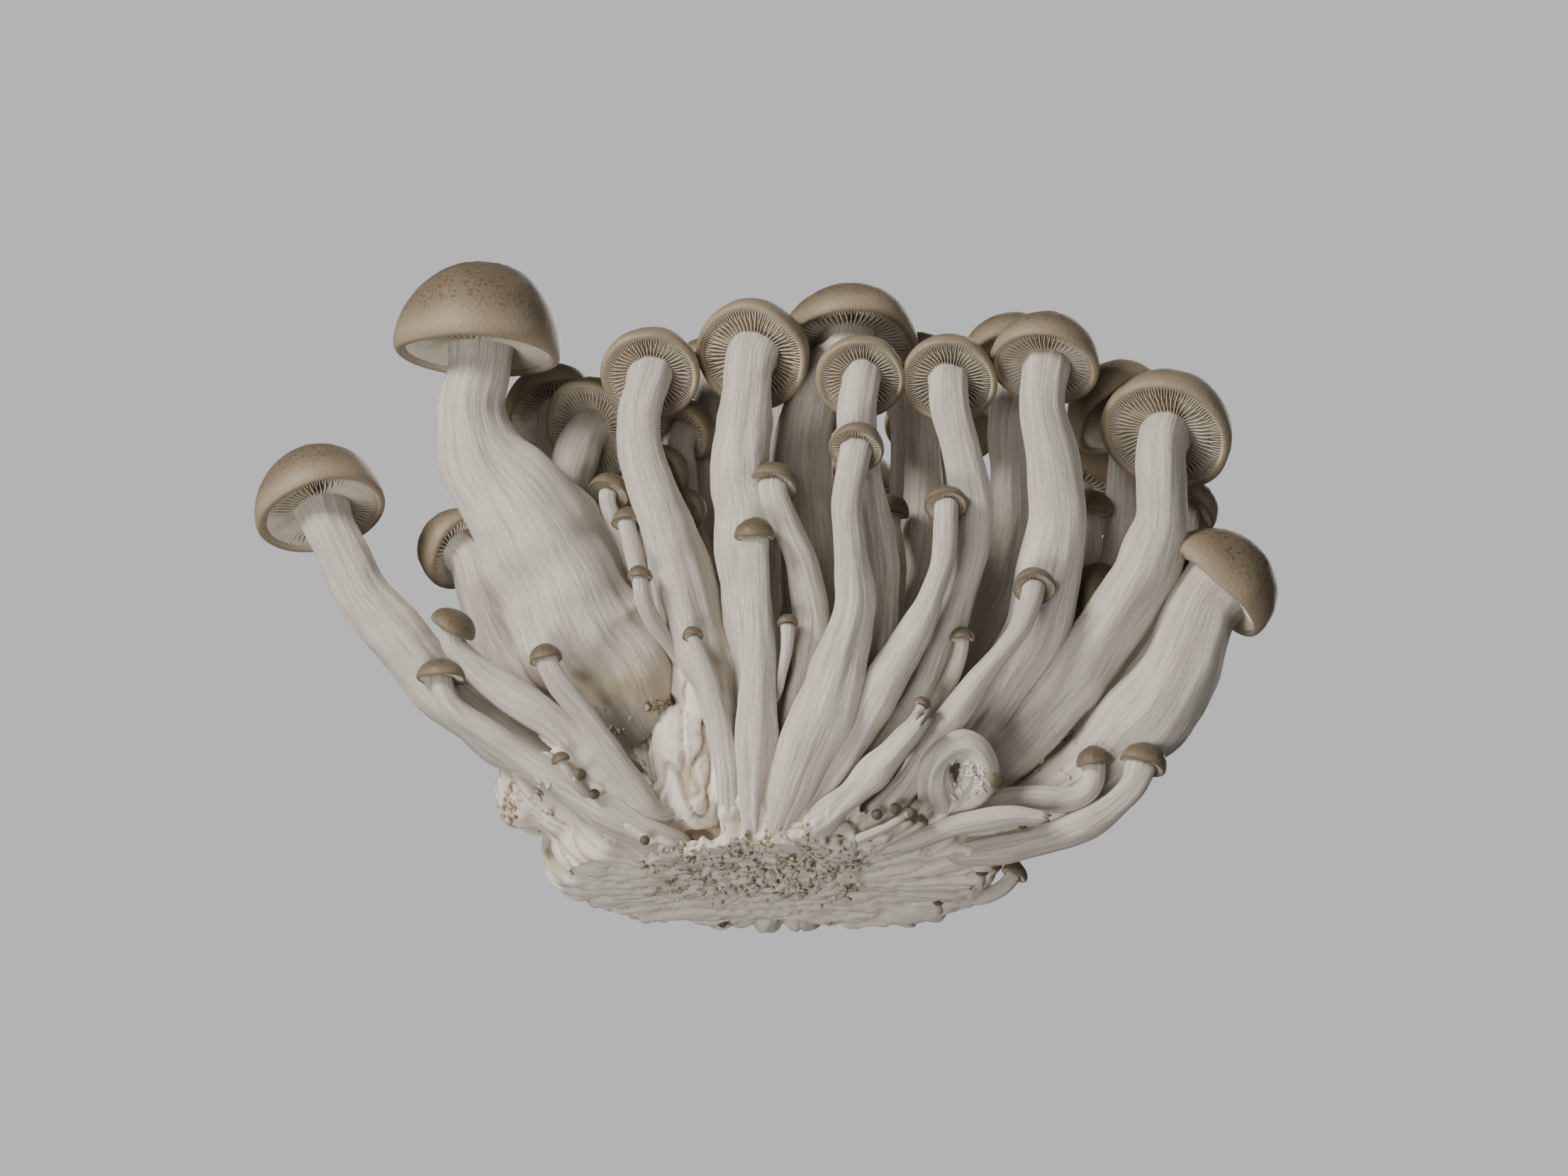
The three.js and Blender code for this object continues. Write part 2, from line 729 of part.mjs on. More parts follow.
const fan = new THREE.Group();
fan.applyMatrix4(stand);
for (const { name, solid, look } of bodies) {
  const mesh = new THREE.Mesh(geometryOf(solid), new THREE.MeshStandardMaterial(look));
  mesh.name = name;
  fan.add(mesh);
}

const clump = new THREE.Group();
clump.name = "beech_mushroom_clump";
clump.add(fan);
fan.position.sub(SCAR);

export default clump;
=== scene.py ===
# %% [markdown]
# # A clump of brown beech mushrooms
# The clump is one grown thing: many mushrooms that fan out from a shared foot of matted threads, which
# was cut off flat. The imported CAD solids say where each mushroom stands, how its stem bends and how wide
# its cap is. Here every one gets its grown look: a ribbed stem, a domed cap with a rolled rim, and gills
# that are separate thin blades.

import math

import bpy
import numpy as np
from mathutils import Matrix, Vector
from mathutils.bvhtree import BVHTree


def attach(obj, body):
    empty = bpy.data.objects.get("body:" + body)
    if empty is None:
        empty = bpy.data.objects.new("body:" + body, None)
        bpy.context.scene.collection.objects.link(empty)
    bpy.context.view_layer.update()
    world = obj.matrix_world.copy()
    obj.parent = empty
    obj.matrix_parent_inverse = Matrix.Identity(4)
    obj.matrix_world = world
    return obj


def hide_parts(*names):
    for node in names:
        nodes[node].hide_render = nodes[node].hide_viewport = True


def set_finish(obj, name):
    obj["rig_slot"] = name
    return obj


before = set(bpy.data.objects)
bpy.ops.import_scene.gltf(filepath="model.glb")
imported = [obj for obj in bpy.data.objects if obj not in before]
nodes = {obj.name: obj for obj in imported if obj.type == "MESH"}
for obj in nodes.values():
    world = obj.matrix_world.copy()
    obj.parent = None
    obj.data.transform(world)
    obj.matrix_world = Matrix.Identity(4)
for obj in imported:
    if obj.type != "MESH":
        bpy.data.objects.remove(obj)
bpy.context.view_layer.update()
MM = 0.001
FOOT = "foot"
STUBS = ("torn_stub", "hook", "curl", "straw")  # stems that lost their cap
FAN_LEAN = math.radians(25)  # the fan of mushrooms leans forward this much
fan_out = np.array([0, -math.cos(FAN_LEAN), -math.sin(FAN_LEAN)])
fan_up = np.array([0, -math.sin(FAN_LEAN), math.cos(FAN_LEAN)])
mushrooms = sorted(name for name in nodes if name != FOOT)
print(len(mushrooms), "mushrooms on one foot")

# %% [markdown]
# ## Reading a mushroom's shape from its solid
# A CAD solid arrives as loose triangles, so its corners are first merged into one skin. The crown is the
# one corner where a whole even ring of triangles meets, and it gives the way the cap faces. Slicing the
# skin again and again, a little further down each time, then gives the middle line of the bent stem and
# how thick it is. This way no mushroom's size is written here a second time.


# %% Merge a solid's corners
def unit(v):
    return v / np.linalg.norm(v)


def skin_of(name):
    mesh = nodes[name].data
    spots = np.empty(len(mesh.vertices) * 3)
    mesh.vertices.foreach_get("co", spots)
    mesh.calc_loop_triangles()
    tris = np.empty(len(mesh.loop_triangles) * 3, int)
    mesh.loop_triangles.foreach_get("vertices", tris)
    merged, where = np.unique(np.round(spots.reshape(-1, 3), 6), axis=0, return_inverse=True)
    return merged, where.ravel()[tris].reshape(-1, 3)


foot_spots, foot_tris = skin_of(FOOT)
foot_middle = foot_spots.mean(0)
foot_left = foot_spots[:, 0].min()
foot_tree = BVHTree.FromPolygons([tuple(p) for p in foot_spots], foot_tris.tolist())
print("the foot has", len(foot_spots), "corners")


# %% Find the crown
POLE_RINGS = {7: 3, 8: 4, 11: 4}  # triangles round a crown, and rings from it down to the widest one
RIM_SHARE = {7: 0.1, 8: 0.06, 11: 0.06}  # height of the widest ring over the rim, in radii


def neighbours(tris, count):
    near = [set() for _ in range(count)]
    for a, b, c in tris:
        near[a] |= {b, c}
        near[b] |= {a, c}
        near[c] |= {a, b}
    return near


def crown_of(spots, tris):
    """The crown's corner, the way it points, the widest radius, and the height of the dome over its rim."""
    near = neighbours(tris, len(spots))
    found = []
    for i, ring in enumerate(near):
        if len(ring) not in POLE_RINGS:
            continue
        corners = spots[list(ring)]
        middle = corners.mean(0)
        spans = np.linalg.norm(corners - middle, axis=1)
        if spans.std() < 0.01 * spans.mean():
            found.append((np.linalg.norm(spots[i] - foot_middle), i, middle))
    _, top, middle = max(found)
    way = unit(spots[top] - middle)
    sides = len(near[top])
    reached, edge = {top}, {top}
    for _ in range(POLE_RINGS[sides]):
        edge = {m for k in edge for m in near[k]} - reached
        reached |= edge
    away = spots[sorted(reached)] - spots[top]
    down = -(away @ way)
    wide = np.linalg.norm(away + down[:, None] * way, axis=1)
    wide[down > 1.3 * wide] = 0  # a corner this far down is on the stem
    return spots[top], way, wide.max(), down[wide.argmax()] + RIM_SHARE[sides] * wide.max()


# %% Slice a stem
TURNS = np.linspace(-math.pi, math.pi, 25)[:-1]


def slice_of(spots, tris, at, way, reach):
    """The middle and the radius of the section where a plane crosses the skin near a spot."""
    side = (spots - at) @ way
    crossings = []
    for a, b in ((0, 1), (1, 2), (2, 0)):
        i, j = tris[:, a], tris[:, b]
        split = (side[i] < 0) != (side[j] < 0)
        i, j = i[split], j[split]
        share = side[i] / (side[i] - side[j])
        crossings.append(spots[i] + (spots[j] - spots[i]) * share[:, None])
    edge = np.concatenate(crossings)
    edge = edge[np.linalg.norm(edge - at, axis=1) < reach]
    if len(edge) < 6:
        return None
    u, v = across_of(way)
    flat = np.c_[(edge - at) @ u, (edge - at) @ v]
    middle = flat.mean(0)
    for _ in range(3):
        off = flat - middle
        angle = np.arctan2(off[:, 1], off[:, 0])
        order = np.argsort(angle)
        angle, far = angle[order], np.hypot(*off[order].T)
        wrapped = np.r_[angle - 2 * math.pi, angle, angle + 2 * math.pi]
        radius = np.interp(TURNS, wrapped, np.tile(far, 3))
        pull = np.c_[np.cos(TURNS), np.sin(TURNS)] * radius[:, None] ** 3
        middle = middle + pull.sum(0) * (2 / 3) / (radius**2).sum()
    return at + middle[0] * u + middle[1] * v, math.sqrt((radius**2).mean())


def across_of(way):
    """Two ways square to a way and to each other."""
    u = unit(np.cross(way, [0.3, 0.2, 1.0] if abs(way[2]) < 0.9 else [1.0, 0.2, 0]))
    return u, np.cross(way, u)


def stem_line(spots, tris, at, way, radius, step, turning):
    """Follows a stem down from a spot: its middles and radii, a step apart."""
    line = [(at - way * 0.5 * step, radius), (at, radius)]
    for _ in range(int(0.12 / step)):
        ahead = at + way * step
        found = slice_of(spots, tris, ahead, way, 2.2 * radius + 0.5 * MM)
        if found is None or found[1] < 0.35 * radius:
            break
        drift = found[0] - ahead
        far = np.linalg.norm(drift)
        middle = ahead + drift * min(1, 0.6 * radius / max(far, 1e-9))
        way = unit((1 - turning) * way + turning * unit(middle - at))
        at = middle
        radius = 0.6 * radius + 0.4 * found[1]
        line.append((at, radius))
    return np.array([p for p, _ in line]), np.array([r for _, r in line])


# %% Read every mushroom
def run_of(line):
    """How far along a line each of its spots lies."""
    return np.r_[0, np.cumsum(np.linalg.norm(np.diff(line, axis=0), axis=1))]


shapes = {}
for name in mushrooms:
    spots, tris = skin_of(name)
    crown, way, widest, dome = crown_of(spots, tris)
    if name in STUBS:
        width = min(widest, 1.3 * MM)
        middles, radii = stem_line(spots, tris, crown - way * 0.5 * MM, -way, width, 0.5 * MM, 0.5)
        shapes[name] = {"line": middles, "radii": radii, "cap": None}
        continue
    rim = crown - way * dome
    start = rim - way * 0.3 * widest
    first = slice_of(spots, tris, start - way * 0.3 * MM, way, 0.75 * widest)
    neck = first[1] if first else 0.4 * widest
    step = 1.2 * MM if widest > 2 * MM else 0.6 * MM
    middles, radii = stem_line(spots, tris, start, -way, neck, step, 0.35)
    shapes[name] = {"line": middles, "radii": radii, "cap": (rim, way, widest, dome)}
lengths = [run_of(shape["line"])[-1] / MM for shape in shapes.values()]
print(f"stems from {min(lengths):.0f} to {max(lengths):.0f} mm long")

# %% [markdown]
# ## Roots
# Some stems in the crowd are squeezed out of sight before they reach the foot, so their solids stop
# short. A real stem goes on down between its neighbours. Each line is therefore led on, in a smooth
# curve, into the nearest part of the foot.


# %% Lead every stem into the foot
def curve_through(start, bend, end, count):
    """A smooth curve of count spots from start to end, which leans towards bend."""
    share = np.linspace(0, 1, count)[:, None]
    return (1 - share) ** 2 * start + 2 * share * (1 - share) * bend + share**2 * end


ROOT_DEPTH = 4 * MM  # how far a root goes into the foot
ROOT_FLOOR = 2.5 * MM  # no root ends nearer the cut than this
for shape in shapes.values():
    line, radii = shape["line"], shape["radii"]
    end, way = line[-1], unit(line[-1] - line[-min(5, len(line))])
    near, facing, _, far = foot_tree.find_nearest(Vector(end))
    inside = np.array(near) - np.array(facing) * ROOT_DEPTH
    inside[2] = max(inside[2], ROOT_FLOOR)
    root = curve_through(end, end + way * 0.5 * far, inside, max(4, int(far / MM)))[1:]
    shape["own"] = len(line)
    shape["line"] = np.r_[line, root]
    shape["radii"] = np.r_[radii, np.full(len(root), radii[-1])]
print("longest root", max(len(shape["line"]) - shape["own"] for shape in shapes.values()), "steps")

# %% [markdown]
# ## Rolling a stem
# A bent stem is a flat sheet rolled into a tube. So a grid is added, its corners are moved on to rings
# that follow the stem, and the seam and both ends are merged shut. The sheet also keeps how far round and
# how far along each corner lies, which the fibres of the finish follow later. Bending a straight cylinder
# with a curve would pinch it where the stem turns tightly, and rings that are each set square to the
# line don't.


# %% Helpers for new pieces
def clear_selection():
    bpy.ops.object.select_all(action="DESELECT")


def select_only(*pieces):
    clear_selection()
    for piece in pieces:
        piece.select_set(True)
    bpy.context.view_layer.objects.active = pieces[0]


def edit_all():
    """Opens the active piece in edit mode, with all of it selected."""
    bpy.ops.object.mode_set(mode="EDIT")
    bpy.ops.mesh.select_all(action="SELECT")


def own_copy(model):
    """A copy of a piece, with a mesh of its own."""
    made = model.copy()
    made.data = model.data.copy()
    bpy.context.scene.collection.objects.link(made)
    return made


def apply_modifier(piece, kind, **settings):
    modifier = piece.modifiers.new(kind, kind)
    for key, value in settings.items():
        setattr(modifier, key, value)
    bpy.ops.object.modifier_apply(modifier=modifier.name)


def ripple(spots, size, seed):
    """Smooth bumps from about -1 to 1, each about size across."""
    random = np.random.default_rng(seed)
    total = np.zeros(spots.shape[:-1])
    for _ in range(7):
        way = unit(random.normal(size=3)) * random.uniform(0.7, 1.5) * 2 * math.pi / size
        total += np.sin(spots @ way + random.uniform(0, 2 * math.pi))
    return total / 2.6


def groove(field, width):
    """1 along the winding lines where a field crosses zero, which are the creases between its swells."""
    return np.exp(-((field / width) ** 2))


def corners_of(mesh, what="co"):
    spots = np.empty(len(mesh.vertices) * 3)
    mesh.vertices.foreach_get(what, spots)
    return spots.reshape(-1, 3)


def move_corners(mesh, spots):
    mesh.vertices.foreach_set("co", spots.ravel())
    mesh.update()


def add_attribute(mesh, name, values):
    kind, field = ("FLOAT_VECTOR", "vector") if np.ndim(values) > 1 else ("FLOAT", "value")
    mesh.attributes.new(name, kind, "POINT").data.foreach_set(field, np.ravel(values).astype(np.float32))


SAME_SPOT = 0.002 * MM  # corners nearer than this are one


def close_up(piece, nearer=SAME_SPOT):
    """Merges the seam and the ends, turns the faces outwards and smooths their shading."""
    edit_all()
    bpy.ops.mesh.remove_doubles(threshold=nearer)
    bpy.ops.mesh.normals_make_consistent(inside=False)
    bpy.ops.object.mode_set(mode="OBJECT")
    bpy.ops.object.shade_smooth()
    return piece


def roll(name, places, **marks):
    """A closed skin through rings of places, [ring, corner], from a grid that is rolled up and merged."""
    rings, sides = places.shape[0] - 1, places.shape[1]
    clear_selection()
    bpy.ops.mesh.primitive_grid_add(x_subdivisions=sides, y_subdivisions=rings, size=1)
    piece = bpy.context.object
    piece.name = piece.data.name = name
    flat = corners_of(piece.data)
    across = np.rint((flat[:, 0] + 0.5) * sides).astype(int) % sides
    along = np.rint((flat[:, 1] + 0.5) * rings).astype(int)
    move_corners(piece.data, places[along, across])
    for mark, values in marks.items():
        add_attribute(piece.data, mark, values[along, across])
    return close_up(piece)


def frames_along(line):
    """Two ways across a line at each of its spots, which turn as little as they can."""
    along = np.gradient(line, axis=0)
    along /= np.linalg.norm(along, axis=1)[:, None]
    across, _ = across_of(along[0])
    firsts = []
    for way in along:
        across = unit(across - way * (across @ way))
        firsts.append(across)
    firsts = np.array(firsts)
    return firsts, np.cross(along, firsts)


def turns_of(sides):
    return np.linspace(0, 2 * math.pi, sides, endpoint=False)


def ring_ways(line, turns):
    """The way from each spot of a line to each corner of the ring round it."""
    u, v = frames_along(line)
    return u[:, None] * np.cos(turns)[None, :, None] + v[:, None] * np.sin(turns)[None, :, None]


def eased(values, times):
    for _ in range(times):
        values[1:-1] = 0.25 * values[:-2] + 0.5 * values[1:-1] + 0.25 * values[2:]
    return values


def resampled(table, known, at):
    """The rows of a table, which lie at the known places, read again at others."""
    return np.column_stack([np.interp(at, known, column) for column in table.T])


def even_line(line, values, count):
    """The line and its values again, at count even steps along it, with the kinks eased."""
    run = run_of(line)
    at = np.linspace(0, run[-1], count)
    table = eased(np.c_[line, values], 2)
    fresh = eased(resampled(table, run, at), 4)
    return fresh[:, :3], fresh[:, 3], at


finished = []


def finish_piece(piece, slot, *stands_for):
    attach(piece, "root")
    if stands_for:
        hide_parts(*stands_for)
    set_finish(piece, slot)
    finished.append(piece)


# %% [markdown]
# ## Stems
# A stem is a bundle of fibres, so it isn't round: it has shallow ribs that run along it, and slow swells.
# Ribs that show from the side have to be real shape, so they are moved into the rings. The fine fibres
# come later, in the finish. Each stem reaches up inside its cap and down into the foot.


# %% Roll the stems
def stem_rings(line, radii, seed, sides, rows, rough):
    line, radii, run = even_line(line, radii, rows)
    turns = turns_of(sides)
    straight = np.empty((rows, sides, 3))
    straight[..., 0] = np.cos(turns) * radii.mean()
    straight[..., 1] = np.sin(turns) * radii.mean()
    straight[..., 2] = run[:, None]
    down = np.broadcast_to(np.linspace(0, 1, rows)[:, None], (rows, sides))
    low = np.clip((down - 0.35) / 0.65, 0, 1)  # a stem is more creased near its root
    threads = ripple(straight * [1, 1, 0.05], 1.2 * MM, seed) * 0.035 * MM
    ribs = ripple(straight * [1, 1, 0.09], 2.6 * MM, seed + 1) * 0.09 * MM * (1 + 1.4 * low)
    creases = groove(ripple(straight * [1, 1, 0.07], 4.5 * MM, seed + 5), 0.16) * -0.3 * MM * low
    folds = ripple(straight * [1, 1, 0.16], 6.5 * MM, seed + 2) * 0.05 * (1 + low)
    calm = math.sqrt(3.6 * MM / max(radii.max(), 3.6 * MM))
    swells = calm * ripple(straight, 13 * MM, seed + 3) * 0.07
    swells += calm * ripple(straight, 5 * MM, seed + 4) * 0.016
    slim = np.minimum(1, radii / (2.5 * MM))[:, None]
    far = radii[:, None] * (1 + rough * (folds + swells)) + rough * (ribs + threads + creases) * slim
    places = line[:, None] + far[..., None] * ring_ways(line, turns)
    return places, line, straight / MM, down


def torn_end(places, line, seed):
    """Opens the top of a stub: a ragged edge round a hollow."""
    way = unit(line[0] - line[2])
    ragged = ripple(places[1], 1.6 * MM, seed)[:, None] * 0.6 * MM
    places[2] = places[2] + way * ragged * 0.6
    places[1] = places[2] * 0.85 + line[2] * 0.15 + way * (0.9 * MM + ragged)
    places[0] = line[1] - way * 0.5 * MM


LARGE_STEM = 2.6 * MM  # stems that get this thick have a finer skin
ROOT_SWELL = 0.3  # how much wider a stem is where it comes out of the foot
CURL_GROWTH = 1.6  # the curl is swollen, so its loop is nearly shut
TORN_ROUGHNESS = {"torn_stub": 2.6, "curl": 2.8, "hook": 2.0, "straw": 1.8}  # against a whole stem's
BRUISE = (29.0, 39.0)  # a tan bruise on the big left stem, from here to here up the fan, in mm
for number, name in enumerate(mushrooms):
    shape = shapes[name]
    line, radii = shape["line"], shape["radii"]
    if shape["cap"]:
        rim, way, widest, _ = shape["cap"]
        risen = [rim + way * widest * share for share in (0.3, 0.2, 0.1, -0.02, -0.14)]
        line = np.r_[risen, line]
        radii = np.r_[radii[0] * np.array([1.1, 1.1, 1.08, 1.03, 1.0]), radii]
    if name == "curl":
        radii = radii * CURL_GROWTH
    swelling = np.clip(np.linspace(-1.2, 1, len(radii)), 0, 1) ** 1.5
    radii = radii * (1 + ROOT_SWELL * swelling)
    length = run_of(line)[-1]
    large = radii.max() > LARGE_STEM
    sides, row_step = (72, 0.8 * MM) if large else (36, 0.6 * MM)
    rows = int(np.clip(length / row_step, 20, 120))
    rough = TORN_ROUGHNESS.get(name, 1.0)
    places, middles, grain, down = stem_rings(line, radii, 11 * number, sides, rows, rough)
    if name in STUBS:
        torn_end(places, middles, number)
    else:
        places[0] = middles[0]
    places[-1] = middles[-1]
    stain = np.zeros(down.shape)
    if name == "big_left":
        height = places @ fan_up / MM + 0.8 * ripple(places, 3 * MM, 91)
        tan = 0.3 + 0.7 * np.clip((height - BRUISE[0]) / 0.8, 0, 1)  # it ends sharply below
        stain = tan * np.clip((BRUISE[1] - height) / 7, 0, 1)  # and fades upwards
    stem = roll(name + "_stem", places, grain=grain + 40.0 * number, tone=down, stain=stain)
    finish_piece(stem, "stem_flesh", name)
print(len(finished), "stems")

# %% [markdown]
# ## Caps
# A cap is a turned bowl: from the crown over the dome to the widest ring, in round the rolled rim, and
# back up inside to the roof that the gills hang from. One cap is modelled at a radius of 1, as a circle
# that is extruded and resized from ring to ring. Every mushroom then gets a copy with its own mesh, which
# is stretched to its own width and dome and pushed about a little, since no two grow the same.

# %% Model one cap
CAP_OUTLINE = [(1, 0.1), (0.985, 0.2), (0.955, 0.31), (0.91, 0.42), (0.85, 0.53), (0.77, 0.64)]
CAP_OUTLINE += [(0.68, 0.735), (0.58, 0.815), (0.47, 0.88), (0.36, 0.93), (0.25, 0.965), (0.14, 0.988)]
CAP_OUTLINE += [(0.05, 0.999)]
RIM_OUTLINE = [(1, 0.1), (1.003, 0.045), (0.997, -0.005), (0.98, -0.045), (0.955, -0.07), (0.925, -0.078)]
RIM_OUTLINE += [(0.895, -0.068), (0.872, -0.04), (0.862, 0.0), (0.855, 0.035), (0.83, 0.065), (0.76, 0.088)]
RIM_OUTLINE += [(0.66, 0.105), (0.5, 0.125), (0.3, 0.14), (0.1, 0.145)]
ROOF_HEIGHT = 0.16  # no part of the roof is higher inside than this, in radii
GILL_EDGE = 0.872  # where the rolled rim ends and the gills begin, in radii
RIM_TURN = 0.1  # height that parts the dome from the rim, in radii


def finer(outline, parts):
    """The outline again with each step cut in parts, and its corners eased."""
    outline = np.array(outline)
    at = np.linspace(0, len(outline) - 1, (len(outline) - 1) * parts + 1)
    return eased(resampled(outline, range(len(outline)), at), parts)


def extrude_rings(outline):
    """Extrudes the selected ring of edges up or down a turned outline, and closes the last ring."""
    for (r0, h0), (r1, h1) in zip(outline, outline[1:]):
        bpy.ops.mesh.extrude_edges_move(TRANSFORM_OT_translate={"value": (0, 0, h1 - h0)})
        bpy.ops.transform.resize(value=(r1 / r0, r1 / r0, 1), center_override=(0, 0, h1))
    bpy.ops.mesh.merge(type="CENTER")


def turned_cap(name, sides, parts):
    clear_selection()
    bpy.ops.mesh.primitive_circle_add(vertices=sides, radius=1, location=(0, 0, RIM_TURN))
    bpy.ops.object.transform_apply(location=True)
    cap = bpy.context.object
    cap.name = cap.data.name = name
    edit_all()
    bpy.ops.mesh.duplicate()
    extrude_rings(finer(CAP_OUTLINE, parts))
    bpy.ops.mesh.select_all(action="DESELECT")
    bpy.ops.object.mode_set(mode="OBJECT")
    for vertex in cap.data.vertices[:sides]:
        vertex.select = True
    for edge in cap.data.edges:
        edge.select = max(edge.vertices) < sides
    bpy.ops.object.mode_set(mode="EDIT")
    extrude_rings(finer(RIM_OUTLINE, parts))
    return close_up(cap, 1e-4)


cap_models = {"large": turned_cap("large_cap_model", 96, 2), "small": turned_cap("small_cap_model", 48, 1)}
print({size: len(cap.data.polygons) for size, cap in cap_models.items()}, "faces in the two cap models")


# %% Copy the cap to every mushroom
def placing(rim, way):
    """The matrix that sets a piece modelled round Z on a rim, facing a way."""
    u, v = across_of(way)
    turn = Matrix([[*row, 0] for row in np.c_[u, v, way].tolist()] + [[0, 0, 0, 1]])
    return Matrix.Translation(Vector(rim)) @ turn


def sway_of(spots, seed):
    """How far a corner of a cap or a gill moves out and up, as shares of the radius, by where it lies."""
    spokes = spots * [1, 1, 0.3]
    return ripple(spokes, 2.1, seed) * 0.030 + ripple(spokes, 0.9, seed + 1) * 0.008


def cap_seed(number):
    """The seed of a cap and of its gills, which sway with it."""
    return 7 * number + 900


def grown_cap(name, rim, way, widest, dome, seed, model):
    cap = own_copy(model)
    cap.name = cap.data.name = name
    spots = corners_of(cap.data)
    far = np.hypot(spots[:, 0], spots[:, 1])
    outside = (spots[:, 2] > RIM_TURN) & ~((far < GILL_EDGE) & (spots[:, 2] < ROOF_HEIGHT))
    high = np.where(outside, (spots[:, 2] - RIM_TURN) / (1 - RIM_TURN), 0)
    lip = np.clip((0.915 - far) / 0.04, 0, 1) * (~outside)
    sway = sway_of(spots, seed)
    spots[:, 2] = np.where(outside, RIM_TURN + high * (dome / widest - RIM_TURN), spots[:, 2])
    spots[:, :2] *= (1 + sway * np.clip(far, 0, 1) ** 2)[:, None]
    spots[:, 2] += 0.7 * sway * far**2
    spots *= widest
    pebbles = ripple(spots, 1.2 * MM, seed + 2) * 0.035 * MM + ripple(spots, 3.5 * MM, seed + 3) * 0.07 * MM
    spots *= (1 + pebbles * high / widest)[:, None]
    move_corners(cap.data, spots)
    add_attribute(cap.data, "tone", high)
    add_attribute(cap.data, "lip", lip)
    add_attribute(cap.data, "young", np.full(len(high), np.clip((6.5 * MM - widest) / (3 * MM), 0, 1)))
    cap.data.transform(placing(rim, way))
    return cap


SMALLEST_WITH_GILLS = 1.9 * MM
LARGE_CAP = 5 * MM
for number, name in enumerate(mushrooms):
    if shapes[name]["cap"]:
        rim, way, widest, dome = shapes[name]["cap"]
        model = cap_models["large" if widest > LARGE_CAP else "small"]
        cap = grown_cap(name + "_cap", rim, way, widest, dome, cap_seed(number), model)
        finish_piece(cap, "cap_skin", name)
for model in cap_models.values():
    bpy.data.objects.remove(model)
print(sum(piece.name.endswith("_cap") for piece in finished), "caps")

# %% [markdown]
# ## Gills
# Gills are thin blades that hang from the roof of the cap and run in to the stem. Between the long ones
# are short ones that start at the rim, so the gaps stay even as the circle widens. One blade of each
# length is shaped from a grid and given its thickness, then spun round the cap as copies.


# %% Shape and spin the blades
ROOF_LINE = ([0.3, 0.5, 0.66, 0.76, 0.83, 0.9], [0.14, 0.125, 0.105, 0.088, 0.065, 0.0])  # far, high


def blade(inner, widest, neck, thick, steps):
    """A blade on its edge along X: its lower edge sags from the rim to the stem, its top is in the roof."""
    outer = 0.9 * widest
    clear_selection()
    bpy.ops.mesh.primitive_grid_add(x_subdivisions=steps, y_subdivisions=1, size=1)
    piece = bpy.context.object
    flat = corners_of(piece.data)
    far = inner + (outer - inner) * (flat[:, 0] + 0.5)
    up = flat[:, 1] + 0.5
    share = np.clip((far - neck) / (outer - neck), 0, 1)
    low = widest * (0.03 - 0.04 * share - 0.045 * np.sin(math.pi * share))
    starts = np.clip((far - inner) / (0.2 * widest), 0, 1) if inner > neck else 1
    roof = widest * np.interp(far / widest, *ROOF_LINE)
    low = np.minimum(roof - (roof - low) * starts, roof)
    move_corners(piece.data, np.c_[far, np.zeros(len(far)), low + (roof + 0.02 * widest - low) * up])
    # Height up the blade, from which the finish paints shade towards the roof.
    add_attribute(piece.data, "tone", up)
    apply_modifier(piece, "SOLIDIFY", thickness=thick, offset=0)
    return piece


def spun(piece, count, start):
    """Copies of a blade round Z."""
    edit_all()
    whole = 2 * math.pi * (count - 1) / count
    bpy.ops.mesh.spin(steps=count - 1, dupli=True, angle=whole, center=(0, 0, 0), axis=(0, 0, 1))
    bpy.ops.object.mode_set(mode="OBJECT")
    piece.data.transform(Matrix.Rotation(start, 4, "Z"))
    return piece


def joined(parts, name):
    select_only(*parts)
    if len(parts) > 1:
        bpy.ops.object.join()
    made = bpy.context.object
    made.name = made.data.name = name
    return made


def gill_set(name, rim, way, widest, neck, seed, count):
    thick = 0.45 * 2 * math.pi * 0.8 * widest / (count * 4)
    gap = 2 * math.pi / count
    parts = [spun(blade(0.9 * neck, widest, neck, thick, 8), count, 0)]
    parts.append(spun(blade(neck + 0.26 * (widest - neck), widest, neck, thick, 6), count, gap / 2))
    if widest > 4 * MM:
        parts.append(spun(blade(neck + 0.52 * (widest - neck), widest, neck, thick, 4), 2 * count, gap / 4))
    gills = joined(parts, name)
    spots = corners_of(gills.data) / widest
    far = np.hypot(spots[:, 0], spots[:, 1])
    sway = sway_of(spots, seed)
    spots[:, :2] *= (1 + sway * far**2)[:, None]
    spots[:, 2] += 0.7 * sway * far**2
    wave = ripple(spots, 0.45, seed + 4) * 0.011 + ripple(spots, 0.17, seed + 5) * 0.004
    spots[:, :2] += wave[:, None] * spots[:, [1, 0]] * [-1, 1] / np.maximum(far, 0.2)[:, None]
    move_corners(gills.data, spots * widest)
    gills.data.transform(placing(rim, way))
    return gills


for number, name in enumerate(mushrooms):
    cap = shapes[name]["cap"]
    if not cap or cap[2] < SMALLEST_WITH_GILLS:
        continue
    rim, way, widest, dome = cap
    neck = shapes[name]["radii"][0] * 1.05
    count = int(np.clip(26 + widest / MM * 3, 30, 62))
    gills = gill_set(name + "_gills", rim, way, widest, neck, cap_seed(number), count)
    finish_piece(gills, "gill_flesh", name)
print(sum(piece.name.endswith("_gills") for piece in finished), "sets of gills")

# %% [markdown]
# ## The foot
# The foot is stems that never grew up: dozens of fused ribs and folds over a cushion of threads. So the
# CAD lobes get a crowd of ribs laid over them, from the edge of the cut outwards and up, and a sheath
# round the root of each stem. A voxel remesh then melts them into one skin, the way they grew, and
# smoothing leaves soft creases between them.


